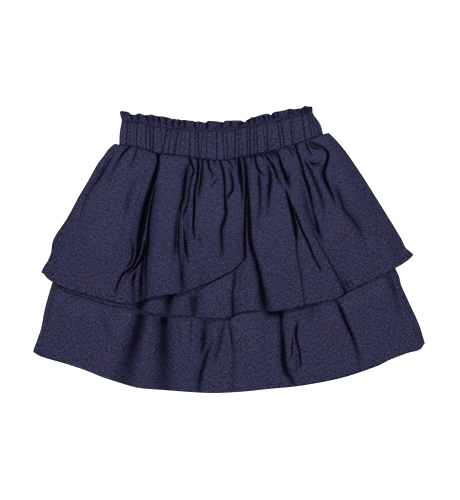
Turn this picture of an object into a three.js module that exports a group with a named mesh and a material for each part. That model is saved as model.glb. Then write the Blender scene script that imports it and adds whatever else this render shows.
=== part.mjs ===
// A girl's rara skirt, lying flat on its back: a gathered elastic waistband with a frilled heading,
// a top tier whose front is two lapped flaps, and a longer lower tier that shows below it.
//
// Millimetres. +X is to the right and +Y towards the waist, seen from above; +Z is up from the
// surface that the skirt lies on, and the origin is on that surface under the skirt's middle.
// Each layer is a wall: its underside is a height over (x, y), and its upper side is one cloth
// thickness above that, measured across the slope.
import * as THREE from 'three';

// Driving dimensions
const CLOTH = 1.0; // one layer of gathered cloth
const GAP = 0.3; // between two pieces at a seam, or lying on each other
const LAYER = CLOTH + GAP;
const SLACK = 0.6; // more air under the loose front flaps
const STEEPEST = 1.8; // the most that a slope thickens a wall, measured upright

const BAND = 2.5; // elastic and casing together, between two gathers
const BAND_RIB = 1.3; // how far the cloth stands up between two gathers
const BAND_ROLL = 9; // radius of the band's folded ends
const HEADING = 1.2; // the frill's doubled cloth
const FRILL_WAVE = 3.0; // height of the front frill's waves at its top edge
const FRILL_NOTCH = 1.4; // how far the frill's top edge dips in its valleys

const HEM_EASE = 14; // over this distance the lower tier comes down past the back tier's hem
const HEM_CLEAR = 5; // and it stays up this far past it
const SIDE_EASE = 18; // over this distance the flaps come down outside the lower tier
const SIDE_ROLL = 16; // radius at which the front panels turn down to their side seams

const NAVY = 0x2e2d45;

const clamp = (t) => Math.min(Math.max(t, 0), 1);
const mix = (a, b, t) => a + (b - a) * t;
const ease = (t) => clamp(t) ** 2 * (3 - 2 * clamp(t));

// A quarter circle: 0 at the edge, 1 from the radius inwards.
const roll = (distance, radius) => Math.sqrt(1 - (1 - clamp(distance / radius)) ** 2);

// Keeps a height above zero without a corner where it would cross.
const above = (z) => 0.5 * (z + Math.hypot(z, 0.5));

// A table's rows, each with the named columns.
const table = (names, rows) =>
  rows.map((row) => Object.fromEntries(names.map((name, i) => [name, row[i]])));

// A smooth line through [along, across] points, in rising order of the first number. At a point
// its slope is that of the chord between the two neighbours; between points it is a cubic.
function line(points) {
  const last = points.length - 1;
  const slopes = points.map((point, i) => {
    const [before, after] = [points[Math.max(i - 1, 0)], points[Math.min(i + 1, last)]];
    return (after[1] - before[1]) / (after[0] - before[0]);
  });
  const across = (along) => {
    let i = 0;
    while (i < last - 1 && along > points[i + 1][0]) i += 1;
    const span = points[i + 1][0] - points[i][0];
    const t = clamp((along - points[i][0]) / span);
    const start = points[i][1] * (1 - t) ** 2 * (1 + 2 * t) + slopes[i] * span * t * (1 - t) ** 2;
    const end = points[i + 1][1] * t ** 2 * (3 - 2 * t) - slopes[i + 1] * span * t ** 2 * (1 - t);
    return start + end;
  };
  return { across, from: points[0][0], to: points[last][0] };
}

// Outlines. Edges that run across the skirt give y for each x.

const waistSeam = line([
  [-142, 132], [-137, 130.6], [-113, 127.5], [-92, 120.5], [-58, 116.8], [-35, 113.2],
  [-4, 111.4], [10, 114.3], [30, 118], [64, 125.6], [96, 136], [117.5, 143.8], [124.6, 145.6],
]);
const stitchLine = line([
  [-134, 161.4], [-100, 156.3], [-72, 151.2], [-31, 147.7], [-6, 149], [24, 154],
  [64, 160.6], [89, 167.2], [105, 169.8],
]);
const frillTop = line([
  [-136.5, 173.3], [-114, 169.6], [-91, 166.8], [-69, 163.2], [-31, 159.6], [-1, 160.8],
  [29, 165.8], [59, 171.8], [81, 175.8], [104, 178.4],
]);
const overHem = line([
  [-232.5, -29], [-224, -37.5], [-207, -46], [-186, -52.8], [-165, -58.6], [-140, -65.3],
  [-126, -67], [-112, -65.6], [-96, -58.8], [-82, -56.9], [-62, -53.8], [-49, -49.8],
  [-21, -38.9], [-5, -30.6], [7, -23.6], [15, -15.5], [18.5, -9],
]);
const underHem = line([
  [-229, -33], [-205, -50.3], [-174, -60.6], [-152, -67.9], [-118, -73.3], [-98, -78.4],
  [-80, -81.9], [-62, -82], [-36, -84.5], [-10, -85.4], [2, -83.6], [14, -77.9], [39, -75.1],
  [54, -76.9], [70, -74.3], [94, -69], [134, -60.2], [142.5, -55.4], [154, -48.8],
  [184, -34.4], [210, -21.6], [222, -14.2], [230.5, -6.8],
]);
const backTierHem = line([
  [-235, -28.8], [-190, -50], [-110, -70], [0, -76], [110, -60], [190, -30], [231, -6.5],
]);
const lowerHem = line([
  [-245, -128], [-236, -133.5], [-204, -143.1], [-181, -150.6], [-159, -159.4], [-136, -167],
  [-114, -173], [-84, -175.7], [-24, -179.6], [14, -178.1], [51, -174.4], [89, -170.6],
  [141, -160.6], [186, -145.6], [201, -138.1], [224, -129.4], [239, -125], [245, -117],
]);
const lowerFrontHem = line([
  [-239.5, -128.6], [-204, -142], [-181, -149.6], [-159, -158.4], [-136, -166], [-114, -172],
  [-84, -174.6], [-24, -178.6], [14, -177], [51, -173], [89, -168.4], [141, -158.2],
  [186, -143.4], [201, -136], [224, -127.8], [239, -123.6], [243, -116.8],
]);

// Outlines. Sides give x for each y, from the hem up to the waist seam.

const tierLeft = line([
  [-28.8, -235], [-23, -232.5], [-13, -226.3], [-3, -222.5], [7, -221.3], [17, -217.5],
  [37, -204], [62, -190], [87, -175], [107, -163.8], [117, -156.3], [127, -148.8], [132, -142],
]);
const tierRight = line([
  [-6.5, 231], [-3.1, 227.5], [2, 221.3], [12, 216.3], [27, 207.5], [57, 188.8], [87, 170],
  [117, 150], [127, 142.5], [137, 133.8], [145.6, 124.6],
]);
const overLeft = line([
  [-29, -232.5], [-14, -223.2], [2, -219.5], [17, -212.5], [38, -200.2], [62, -189.5],
  [87, -174.8], [107, -163.6], [117, -156.1], [127, -148.6], [132, -142],
]);
const overRight = line([
  [-9, 18.8], [5, 18.8], [18, 19], [35, 20], [55, 20.8], [75, 21], [90, 20.5], [100, 19.8],
  [114.8, 17.5],
]);
const underLeft = line([
  [-33, -229], [-14, -221.5], [2, -217], [17, -210], [38, -198], [62, -187], [87, -172.4],
  [107, -161], [117, -153.6], [127, -146], [131.4, -140],
]);
const underRight = line([
  [-6.8, 230.5], [-3.1, 227], [2, 220.8], [12, 215.8], [27, 207], [57, 188.3], [87, 169.5],
  [117, 149.5], [127, 142], [137, 133.3], [145.6, 124.6],
]);
const lowerLeft = line([
  [-128, -245], [-123, -243.8], [-113, -240], [-98, -235], [-78, -231.2], [-63, -227.5],
  [-43, -221.3], [-5, -206], [35, -185], [85, -160], [130.6, -137],
]);
const lowerRight = line([
  [-117, 245], [-113, 243.8], [-93, 237.5], [-63, 223.8], [-43, 215], [-33, 212.5], [0, 195],
  [45, 170], [95, 143], [143.8, 117.5],
]);
const lowerFrontLeft = line([
  [-128.6, -239.5], [-113, -234.5], [-98, -229.4], [-78, -225.6], [-63, -221.9], [-43, -216],
  [-5, -201], [35, -181], [85, -157], [130.6, -137],
]);
const lowerFrontRight = line([
  [-116.8, 243], [-93, 235.5], [-63, 221.8], [-33, 210.3], [0, 193], [45, 168], [95, 142],
  [143.8, 117.5],
]);

// A panel between four edges. Its own directions are u, from the left side to the right one, and
// v, from its top edge down to its hem: x lies on the straight line between the sides, and y on
// the one between the top edge and the hem.
function panel({ top, hem, left, right }) {
  const sides = (v) => [
    left.across(mix(left.to, left.from, v)),
    right.across(mix(right.to, right.from, v)),
  ];
  const point = (u, v) => {
    const [upper, lower] = [sides(0), sides(1)];
    const x = mix(...sides(v), u);
    const y = mix(top.across(mix(...upper, u)) - GAP, hem.across(mix(...lower, u)), v);
    return [x, y];
  };
  const width = (v) => sides(v)[1] - sides(v)[0];
  // The u and v of a point, by taking its v from its u and its u from its v in turn.
  const locate = (x, y) => {
    let [u, v] = [0.5, 0.5];
    for (let turn = 0; turn < 12; turn += 1) {
      u = (x - sides(v)[0]) / width(v);
      const [from, to] = [point(u, 0)[1], point(u, 1)[1]];
      v = clamp((from - y) / (from - to));
    }
    return [clamp(u), v];
  };
  const edgeDistance = (u, v) => [u * width(v), (1 - u) * width(v)];
  return { point, width, locate, edgeDistance };
}

// Folds. Each runs from (x0, y0) down to (x1, y1), bowed sideways by bow at its middle. It rises
// by rise, or sinks where that is negative, and dies away over the widths left and right of it:
// height = rise * exp(-(distance / width) ** 2). start and end say how much of it is left at its
// two ends, so a fold that runs out at an edge keeps 1 there.
const FOLD = ['x0', 'y0', 'x1', 'y1', 'bow', 'rise', 'left', 'right', 'start', 'end'];

const overFolds = table(FOLD, [
  [-90, 117, -140, -60, 7, -8.0, 4, 9, 0.3, 0.7],
  [-101, 112, -153, -55, 7, 2.4, 12, 6, 0.3, 0.4],
  [-105, 4, -137, -60, 2, -3.0, 4, 5, 0, 1],
  [-72, 112, -94, -55, 2, 2.6, 16, 13, 0.2, 0.6],
  [-126, 126, -153, 74, -5, -2.6, 5, 5, 1, 0],
  [-116, 125, -124, 69, -3, -2.6, 4, 4, 1, 0],
  [-47.5, 114, -44, 97, 0, -2.6, 3, 3, 1, 0],
  [-39, 113, -44, 12, -2, -2.6, 3.5, 4, 1, 0.2],
  [-47.5, 82, -52, 49, 0, -1.8, 4, 4, 0, 0],
  [-54, 112, -68, -50, 0, -3.2, 7, 7, 0.8, 0.5],
  [-12, 111, -9, -25, 8, -3.8, 4, 5, 1, 0.2],
  [0, 110, -1, 65, 6, -2.6, 3.5, 4, 1, 0],
  [-26, 112, -30, -38, 0, 1.6, 9, 9, 0.4, 0.8],
  [-184, 20, -206, -46, 0, -2.2, 9, 9, 0, 1],
]);
const underFolds = table(FOLD, [
  [17, 112, 25, 8, -1, -5.2, 4, 5, 1, 0.3],
  [28, 26, 43, -75, 3, -2.8, 6, 7, 0, 0.8],
  [32, 118, 40, 60, 2, -3.0, 4, 5, 1, 0],
  [47, 110, 46, 40, 5, -3.0, 7, 7, 0.8, 0],
  [50, 113, 65, 77, 1, -2.4, 4, 4, 1, 0],
  [60, 121, 93, -69, 5, -6.4, 4, 8, 1, 0.9],
  [52, 100, 82, -72, 5, 1.8, 8, 6, 0.3, 0.8],
  [83, 130, 117, 8, 2, -4.2, 5, 5, 1, 0],
  [96, 112, 117, 60, 0, -2.0, 5, 5, 0.4, 0],
  [101, 136, 116, 106, 1, -2.4, 4, 4, 1, 0],
  [111, 138, 132, 56, 1, -2.6, 5, 5, 1, 0],
  [139, 70, 184, -34, 5, -4.2, 10, 10, 0, 0.8],
  [85, 36, 118, -30, 2, -3.0, 4, 5, 0, 0],
  [83, 46, 140, -60, 3, 3.0, 9, 4, 0, 1],
  [92, 38, 148, -52, 3, -3.2, 4, 8, 0, 1],
  [150, 90, 205, -20, 0, 1.8, 12, 9, 0, 0.6],
  [-10, 20, -20, -85, 0, -1.6, 9, 9, 0, 1],
]);
const lowerFolds = table(FOLD, [
  [-178, -40, -204, -143, 0, -2.2, 9, 9, 0.5, 1],
  [-107, -60, -128, -169, 2, -4.0, 9, 9, 0.7, 1],
  [-98, -62, -115, -172, 0, 2.4, 6, 6, 0.5, 1],
  [-84, -62, -81, -175, 0, -4.0, 9, 9, 0.7, 1],
  [-45.5, -70, -46, -122, -2, -1.8, 3, 3, 1, 0],
  [-20, -68, -28, -130, 0, -3.2, 11, 8, 0.6, 0],
  [-8, -72, -26, -172, 2, 2.8, 7, 4, 0.6, 0.4],
  [-22, -112, -40, -178, 0, -3.2, 6, 6, 0, 1],
  [-1, -72, 8, -150, 0, -2.6, 7, 7, 0.6, 0],
  [64, -62, 76, -172, 0, -3.0, 7, 7, 0.7, 0.8],
  [85, -94, 79, -130, 0, -1.8, 4, 4, 0, 0],
  [132, -50, 166, -152, 2, -4.2, 7, 8, 0.7, 0.8],
  [112, -60, 124, -165, 0, 1.8, 14, 12, 0.4, 0.8],
  [196, -22, 226, -128, 1, -3.0, 8, 8, 0.5, 0.9],
]);

// A fold's depth along its length, at t from 0 at its start to 1 at its end. What is left of it at
// an end dies away over another tenth of its length.
const along = ({ start, end }, t) => ease(t / 0.1 + 1) * mix(start, 1, ease(t / 0.3))
  * ease((1 - t) / 0.1 + 1) * mix(end, 1, ease((1 - t) / 0.3));

// The folds in a panel's own directions. reach gives each fold's u at v, or null outside it.
function foldsOn(shape, rows) {
  return rows.map((fold) => {
    const [u0, v0] = shape.locate(fold.x0, fold.y0);
    const [u1, v1] = shape.locate(fold.x1, fold.y1);
    const reach = (v) => {
      const t = (v - v0) / (v1 - v0);
      if (t < -0.1 || t > 1.1) return null;
      const bow = (fold.bow / shape.width(v)) * 4 * t * (1 - t);
      return { u: mix(u0, u1, t) + bow, depth: along(fold, t) };
    };
    const height = (u, v) => {
      const here = reach(v);
      if (!here) return 0;
      const distance = (u - here.u) * shape.width(v);
      const width = distance < 0 ? fold.left : fold.right;
      return fold.rise * here.depth * Math.exp(-((distance / width) ** 2));
    };
    return { reach, height };
  });
}
const heightOf = (folds, u, v) => folds.reduce((sum, fold) => sum + fold.height(u, v), 0);

// Steps from 0 to 1 in stretches of { to, steps }, for columns and rows that lie closer in some.
function stepped(stretches) {
  const values = [0];
  for (const { to, steps } of stretches) {
    const from = values.at(-1);
    for (let i = 1; i <= steps; i += 1) values.push(mix(from, to, i / steps));
  }
  return values;
}

// One row's columns: where a fold passes, the nearest column moves on to it, unless that would
// bring it within a third of a column of its neighbour.
function drawnTo(folds, columns, v) {
  const row = [...columns];
  const moved = new Set();
  for (const fold of folds) {
    const here = fold.reach(v);
    if (!here) continue;
    let nearest = 1;
    for (let i = 1; i < columns.length - 1; i += 1) {
      if (Math.abs(columns[i] - here.u) < Math.abs(columns[nearest] - here.u)) nearest = i;
    }
    const least = (columns[nearest + 1] - columns[nearest - 1]) / 6;
    const fits = here.u - row[nearest - 1] > least && row[nearest + 1] - here.u > least;
    if (moved.has(nearest) || !fits) continue;
    row[nearest] = here.u;
    moved.add(nearest);
  }
  return row;
}

// A wall over a grid of { x, y, under, over } points, closed along its four edges. Each cell is
// split along the diagonal whose ends differ least from the other two corners' mean height.
function wall(name, grid) {
  const [rows, columns] = [grid.length, grid[0].length];
  const positions = [];
  for (const side of ['under', 'over']) {
    for (const point of grid.flat()) positions.push(point.x, point.y, point[side]);
  }
  const low = (i, j) => i * columns + j;
  const high = (i, j) => rows * columns + low(i, j);
  const triangles = [];
  const quad = (a, b, c, d) => triangles.push(a, b, c, a, c, d);
  for (let i = 0; i < rows - 1; i += 1) {
    for (let j = 0; j < columns - 1; j += 1) {
      const [a, b] = [grid[i][j].over, grid[i][j + 1].over];
      const [d, c] = [grid[i + 1][j].over, grid[i + 1][j + 1].over];
      const turned = Math.abs(a - c) > Math.abs(b - d);
      const corners = [[i, j], [i + 1, j], [i + 1, j + 1], [i, j + 1]];
      if (turned) corners.push(corners.shift());
      const [first, second, third, fourth] = corners;
      quad(high(...first), high(...second), high(...third), high(...fourth));
      quad(low(...first), low(...fourth), low(...third), low(...second));
    }
  }
  const rim = [];
  for (let j = 0; j < columns - 1; j += 1) rim.push([0, j]);
  for (let i = 0; i < rows - 1; i += 1) rim.push([i, columns - 1]);
  for (let j = columns - 1; j > 0; j -= 1) rim.push([rows - 1, j]);
  for (let i = rows - 1; i > 0; i -= 1) rim.push([i, 0]);
  rim.forEach((corner, k) => {
    const next = rim[(k + 1) % rim.length];
    quad(low(...corner), high(...corner), high(...next), low(...next));
  });
  const geometry = new THREE.BufferGeometry();
  geometry.setAttribute('position', new THREE.Float32BufferAttribute(positions, 3));
  geometry.setIndex(triangles);
  geometry.computeVertexNormals();
  const cloth = new THREE.MeshStandardMaterial({ color: NAVY, roughness: 0.9, metalness: 0 });
  const mesh = new THREE.Mesh(geometry, cloth);
  mesh.name = name;
  return mesh;
}

// A cloth panel: the grid of its points, each with its underside's height and the wall above it.
const STEP = 0.002; // the part of a panel over which its slope is taken
function clothPanel(name, shape, folds, columns, rows, underside) {
  const thickness = (u, v) => {
    const [u0, u1] = [Math.max(u - STEP, 0), Math.min(u + STEP, 1)];
    const [v0, v1] = [Math.max(v - STEP, 0), Math.min(v + STEP, 1)];
    const across = (underside(u1, v) - underside(u0, v)) / ((u1 - u0) * shape.width(v));
    const length = shape.point(u, v0)[1] - shape.point(u, v1)[1];
    const down = (underside(u, v1) - underside(u, v0)) / length;
    return CLOTH * Math.min(Math.hypot(1, across, down), STEEPEST);
  };
  const grid = rows.map((v) => drawnTo(folds, columns, v).map((u) => {
    const [x, y] = shape.point(u, v);
    const under = underside(u, v);
    return { x, y, under, over: under + thickness(u, v) };
  }));
  return wall(name, grid);
}

// How a gathered panel stands up along its length: low at the seam, full below it, and coming
// down to its hem.
const fullness = ({ seam, crown, hem }, v) =>
  mix(seam, hem, v) + crown * Math.sin(Math.PI * v ** 0.7);

// Small gathers just below the waist seam, count of them, uneven in width, which stand up by rise
// and die away over depth.
const gathers = ({ count, rise, depth }, shape, u, v) => {
  const down = v * (shape.point(u, 0)[1] - shape.point(u, 1)[1]);
  const uneven = u + 0.008 * Math.sin(21 * u) + 0.004 * Math.sin(47 * u + 1);
  return rise * (0.5 - 0.5 * Math.cos(2 * Math.PI * count * uneven)) * Math.exp(-down / depth);
};

// Top tier, back. It lies on the surface.
const tierBack = panel({
  top: waistSeam, hem: backTierHem, left: tierLeft, right: tierRight,
});
const tierBackWall = clothPanel(
  'tier_back', tierBack, [],
  stepped([{ to: 1, steps: 32 }]), stepped([{ to: 1, steps: 5 }]), () => 0,
);

// Lower tier, back. It lies on the back tier, and on the surface beyond that tier's hem.
const lowerBack = panel({
  top: waistSeam, hem: lowerHem, left: lowerLeft, right: lowerRight,
});
const onBackTier = (x, y) =>
  LAYER * ease((y - backTierHem.across(x) + HEM_CLEAR + HEM_EASE) / HEM_EASE);
const lowerBackWall = clothPanel(
  'lower_back', lowerBack, [],
  stepped([{ to: 1, steps: 32 }]),
  stepped([{ to: 0.45, steps: 2 }, { to: 0.8, steps: 7 }, { to: 1, steps: 1 }]),
  (u, v) => onBackTier(...lowerBack.point(u, v)),
);

// Lower tier, front. It is pressed flat under the flaps and stands up in folds below them.
const LOWER_FULLNESS = { seam: 2, crown: 2.4, hem: 2.2 };
const LOWER_ROOM = 7; // no fold of the lower tier stands higher than this
const lowerFront = panel({
  top: waistSeam, hem: lowerFrontHem, left: lowerFrontLeft, right: lowerFrontRight,
});
const lowerFrontFolds = foldsOn(lowerFront, lowerFolds);
const uncovered = (x, y) => ease((underHem.across(x) + 16 - y) / 30);
function lowerFrontUnder(u, v) {
  const [x, y] = lowerFront.point(u, v);
  const [left, right] = lowerFront.edgeDistance(u, v);
  const side = roll(Math.min(left, right) + 0.5, SIDE_ROLL);
  const bulge = above(side * (fullness(LOWER_FULLNESS, v) + heightOf(lowerFrontFolds, u, v)));
  return onBackTier(x, y) + LAYER + uncovered(x, y) * bulge;
}
const lowerFrontWall = clothPanel(
  'lower_front', lowerFront, lowerFrontFolds,
  stepped([{ to: 1, steps: 56 }]),
  stepped([{ to: 0.4, steps: 2 }, { to: 1, steps: 10 }]), lowerFrontUnder,
);

// Top tier, front: what both flaps lie on, which is the lower tier, and the back tier past it.
function flapBed(x, y) {
  const inLeft = ease((x - lowerLeft.across(y) + SIDE_EASE) / SIDE_EASE);
  const inRight = ease((lowerRight.across(y) - x + SIDE_EASE) / SIDE_EASE);
  const edge = Math.min(x - lowerLeft.across(y), lowerRight.across(y) - x);
  const folds = uncovered(x, y) * LOWER_ROOM * roll(edge + 4, SIDE_ROLL);
  return LAYER + inLeft * inRight * (2 * LAYER + SLACK + folds);
}

// Top tier, front, the flap below. It shows right of the other flap's edge and below its hem.
const UNDER_FULLNESS = { seam: 1.0, crown: 5.2, hem: 1.2 };
const UNDER_GATHERS = { count: 36, rise: 1.6, depth: 16 };
const flapUnder = panel({
  top: waistSeam, hem: underHem, left: underLeft, right: underRight,
});
const flapUnderFolds = foldsOn(flapUnder, underFolds);
const pastFlap = (x, y) => {
  const pastEdge = ease((x - overRight.across(y) + 6) / 16);
  const pastHem = ease((overHem.across(x) + 8 - y) / 20);
  return 1 - (1 - pastEdge) * (1 - pastHem);
};
function flapUnderUnder(u, v) {
  const [x, y] = flapUnder.point(u, v);
  const [left, right] = flapUnder.edgeDistance(u, v);
  const side = roll(Math.min(left, right) + 0.5, SIDE_ROLL);
  const swell = fullness(UNDER_FULLNESS, v) + gathers(UNDER_GATHERS, flapUnder, u, v);
  const bulge = above(side * (swell + heightOf(flapUnderFolds, u, v)));
  return flapBed(x, y) + pastFlap(x, y) * bulge;
}
const flapUnderWall = clothPanel(
  'flap_under', flapUnder, flapUnderFolds,
  stepped([{ to: 0.06, steps: 4 }, { to: 0.5, steps: 14 }, { to: 0.6, steps: 5 }, { to: 1, steps: 36 }]),
  stepped([{ to: 0.1, steps: 3 }, { to: 0.3, steps: 3 }, { to: 1, steps: 8 }]), flapUnderUnder,
);

// Top tier, front, the flap on top. Its right edge and its hem lie free on the flap below.
const OVER_FULLNESS = { seam: 1.0, crown: 5.6, hem: 1.0 };
const OVER_GATHERS = { count: 24, rise: 1.6, depth: 16 };
const OVER_EDGE = 9; // from its free edge the flap is at full height this far in
const RIDGES = 3; // the folds of the flap below reach this far above its swell
const flapOver = panel({
  top: waistSeam, hem: overHem, left: overLeft, right: overRight,
});
const flapOverFolds = foldsOn(flapOver, overFolds);
function flapOverUnder(u, v) {
  const [x, y] = flapOver.point(u, v);
  const [left, right] = flapOver.edgeDistance(u, v);
  const bed = flapBed(x, y) + LAYER + mix(GAP, SLACK, clamp(left / OVER_EDGE));
  const [, vBelow] = flapUnder.locate(x, y);
  const room = pastFlap(x, y) * (fullness(UNDER_FULLNESS, vBelow) + RIDGES);
  const turn = roll(left + 0.5, SIDE_ROLL);
  const side = turn * mix(0.35, 1, roll(right, OVER_EDGE));
  const swell = fullness(OVER_FULLNESS, v) + gathers(OVER_GATHERS, flapOver, u, v);
  return bed + room * turn + above(side * (swell + heightOf(flapOverFolds, u, v)));
}
const flapOverWall = clothPanel(
  'flap_over', flapOver, flapOverFolds,
  stepped([{ to: 1, steps: 48 }]),
  stepped([{ to: 0.1, steps: 3 }, { to: 0.3, steps: 3 }, { to: 1, steps: 8 }]), flapOverUnder,
);

// Waistband. Each half is a casing up to the stitched line and a frill above it, in one grid.
// The gathers are creases at x on the stitched line and xSeam on the waist seam, depth deep.
const bandLeft = line([[0, -137], [0.5, -136.4], [1, -134], [1.5, -135.4], [2, -136.5]]);
const bandRight = line([[0, 117.5], [0.5, 113.6], [1, 105], [1.5, 104.4], [2, 104]]);
const GATHER = ['x', 'xSeam', 'depth', 'width'];
const bandGathers = table(GATHER, [
  [-125, -127.5, 0.8, 1.8], [-121, -122.5, 0.6, 1.5], [-114.5, -115.5, 0.7, 1.6],
  [-104, -104, 0.9, 1.8], [-99.5, -97.5, 0.6, 1.5], [-94, -94, 1.0, 1.9],
  [-85, -86, 0.6, 1.6], [-77.5, -82, 0.8, 1.8], [-72, -76, 0.7, 1.5], [-64, -70, 1.0, 1.8],
  [-56, -58, 0.5, 1.4], [-48, -51, 0.9, 1.8], [-41.5, -43, 0.6, 1.4], [-37.5, -37.5, 0.7, 1.4],
  [-28.5, -31, 0.9, 1.7], [-16, -14, 0.8, 1.7], [-8, -4.5, 0.7, 1.6], [-2.5, -1.8, 0.6, 1.4],
  [8, 7, 0.9, 1.8], [15.5, 16.5, 0.6, 1.5], [24.5, 26, 0.8, 1.7], [31.5, 32.5, 0.7, 1.5],
  [35, 35.5, 0.5, 1.3], [45, 46, 0.9, 1.8], [52, 53, 0.5, 1.4], [62.5, 65, 0.8, 1.6],
  [66, 70.5, 0.7, 1.6], [76, 78.5, 0.8, 1.7], [80.5, 80.5, 0.5, 1.3], [91.5, 94.5, 0.9, 1.8],
  [99, 105, 0.8, 1.8], [103, 115, 0.6, 1.6],
]);
const frillFolds = table(['x', 'depth', 'width'], [
  [-122, 0.9, 2.8], [-114, 0.7, 2.2], [-101, 0.9, 2.4], [-94, 0.6, 2.0], [-86, 1.0, 2.6],
  [-77.5, 0.7, 2.2], [-70, 0.8, 2.2], [-62, 0.9, 2.6], [-54.5, 0.6, 2.2], [-43, 0.9, 2.4],
  [-38, 0.6, 1.8], [-26, 1.0, 2.8], [-8.5, 1.0, 2.8], [2, 0.7, 2.2], [9.5, 0.6, 2.2],
  [25.5, 1.0, 2.8], [33, 0.6, 2.2], [44, 0.8, 2.4], [52.5, 1.0, 2.8], [59, 0.6, 2.0],
  [76, 0.8, 2.4], [92.5, 0.8, 2.4], [98.5, 0.7, 1.9],
]);
const bandHeights = [0, 0.3, 0.65, 0.9, 1, 1.12, 1.5, 2];
const xOnBand = (u, height) => mix(bandLeft.across(height), bandRight.across(height), u);
function yOnBand(u, height) {
  const seam = waistSeam.across(xOnBand(u, 0)) + GAP / 2;
  const stitched = stitchLine.across(xOnBand(u, 1));
  if (height <= 1) return mix(seam, stitched, height);
  return mix(stitched, frillTop.across(xOnBand(u, 2)), height - 1);
}

// 1 between the creases, down to 1 - depth in each of them.
function crest(creases, x) {
  const deepest = creases.map(({ at, depth, width }) => depth * Math.exp(-(((x - at) / width) ** 2)));
  return 1 - Math.max(...deepest);
}
const creasesAt = (height) => (height <= 1
  ? bandGathers.map((g) => ({ at: mix(g.xSeam, g.x, height), depth: g.depth, width: g.width }))
  : frillFolds.map((f) => ({ at: f.x, depth: f.depth, width: f.width })));

function bandWall(name, bed, columns, wave, rib) {
  const across = stepped([{ to: 1, steps: columns }]);
  const grid = bandHeights.map((height) => {
    const creases = creasesAt(height);
    const width = xOnBand(1, height) - xOnBand(0, height);
    const passing = creases.map((crease) => ({
      reach: () => ({ u: (crease.at - xOnBand(0, height)) / width }),
    }));
    return drawnTo(passing, across, 0).map((u) => {
      const x = xOnBand(u, height);
      const stands = crest(creases, x);
      const end = roll(Math.min(u, 1 - u) * width + 0.6, BAND_ROLL);
      if (height <= 1) {
        const pinch = height === 1 ? 0.4 : 1;
        const thick = HEADING + end * (pinch * (BAND - HEADING) + pinch * rib * stands);
        return { x, y: yOnBand(u, height), under: bed, over: bed + thick };
      }
      const flare = clamp(height - 1);
      const under = bed + wave * stands * flare ** 0.7 * end;
      const notch = FRILL_NOTCH * (1 - stands) * flare;
      const thick = HEADING * mix(1.5, 1, flare);
      return { x, y: yOnBand(u, height) - notch, under, over: under + thick };
    });
  });
  return wall(name, grid.reverse());
}
const BACK_BAND_TOP = BAND + 0.4 * BAND_RIB;
const bandBackWall = bandWall('waistband_back', 0, 42, 0.3 * FRILL_WAVE, 0.4 * BAND_RIB);
const bandFrontWall = bandWall('waistband_front', BACK_BAND_TOP + GAP, 96, FRILL_WAVE, BAND_RIB);

const skirt = new THREE.Group();
skirt.name = 'rara_skirt';
skirt.add(
  tierBackWall, lowerBackWall, lowerFrontWall, flapUnderWall, flapOverWall,
  bandBackWall, bandFrontWall,
);

export default skirt;
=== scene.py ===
import bpy
import numpy as np
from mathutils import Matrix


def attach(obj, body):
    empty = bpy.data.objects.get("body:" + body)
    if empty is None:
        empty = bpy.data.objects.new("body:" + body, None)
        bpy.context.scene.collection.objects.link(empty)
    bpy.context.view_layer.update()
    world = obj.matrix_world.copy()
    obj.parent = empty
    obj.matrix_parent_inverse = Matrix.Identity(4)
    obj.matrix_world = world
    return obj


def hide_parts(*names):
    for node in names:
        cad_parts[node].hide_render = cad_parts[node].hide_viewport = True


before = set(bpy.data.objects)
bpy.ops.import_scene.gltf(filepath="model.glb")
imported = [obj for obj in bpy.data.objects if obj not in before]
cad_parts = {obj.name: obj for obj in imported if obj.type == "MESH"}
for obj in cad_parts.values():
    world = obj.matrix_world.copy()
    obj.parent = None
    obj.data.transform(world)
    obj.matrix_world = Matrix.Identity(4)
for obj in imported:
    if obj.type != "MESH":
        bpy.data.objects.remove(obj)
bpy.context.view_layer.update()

# ---------------------------------------------------------------------------------------------
# The view, the light and the table that the skirt lies on: straight down on its front, in light
# from close beside the camera with a weaker one beyond the waistband, on a plain white top.
# ---------------------------------------------------------------------------------------------
MM = 0.001
FRAME_HEIGHT = 0.625  # how much of the table the picture takes in, from top to bottom
MIDDLE = (1.25, -0.6)  # the table's point in the middle of the picture, in millimetres
LENS = 100.0
SENSOR = 36.0
view_height = LENS / SENSOR * FRAME_HEIGHT

camera_data = bpy.data.cameras.new("overhead")
camera_data.lens = LENS
camera_data.sensor_width = SENSOR
camera = bpy.data.objects.new("overhead", camera_data)
camera.location = (MIDDLE[0] * MM, MIDDLE[1] * MM, view_height)
bpy.context.collection.objects.link(camera)
bpy.context.scene.camera = camera
bpy.context.scene.view_settings.view_transform = "Standard"


def soft_box(name, place, size, watts):
    """A square light at a place in metres, turned from straight down to the skirt's middle: about
    the axis that is square to both directions, by the angle between them."""
    data = bpy.data.lights.new(name, "AREA")
    data.shape = "SQUARE"
    data.size = size
    data.energy = watts
    lamp = bpy.data.objects.new(name, data)
    lamp.location = place
    towards = -np.array(place) / np.linalg.norm(place)
    down = np.array([0.0, 0.0, -1.0])
    axis = np.cross(down, towards)
    angle = float(np.arccos(down @ towards))
    lamp.rotation_mode = "AXIS_ANGLE"
    lamp.rotation_axis_angle = (angle, *(axis / np.linalg.norm(axis)))
    bpy.context.collection.objects.link(lamp)


soft_box("key", place=(-0.06, 0.1, 2.3), size=0.6, watts=34.0)
soft_box("beyond_waistband", place=(-0.4, 1.5, 1.3), size=0.4, watts=10.0)

world = bpy.data.worlds.new("studio")
bpy.context.scene.world = world
world.use_nodes = True
room_light = world.node_tree.nodes["Background"]
room_light.inputs["Color"].default_value = (0.45, 0.78, 1.0, 1.0)
room_light.inputs["Strength"].default_value = 0.015

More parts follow.
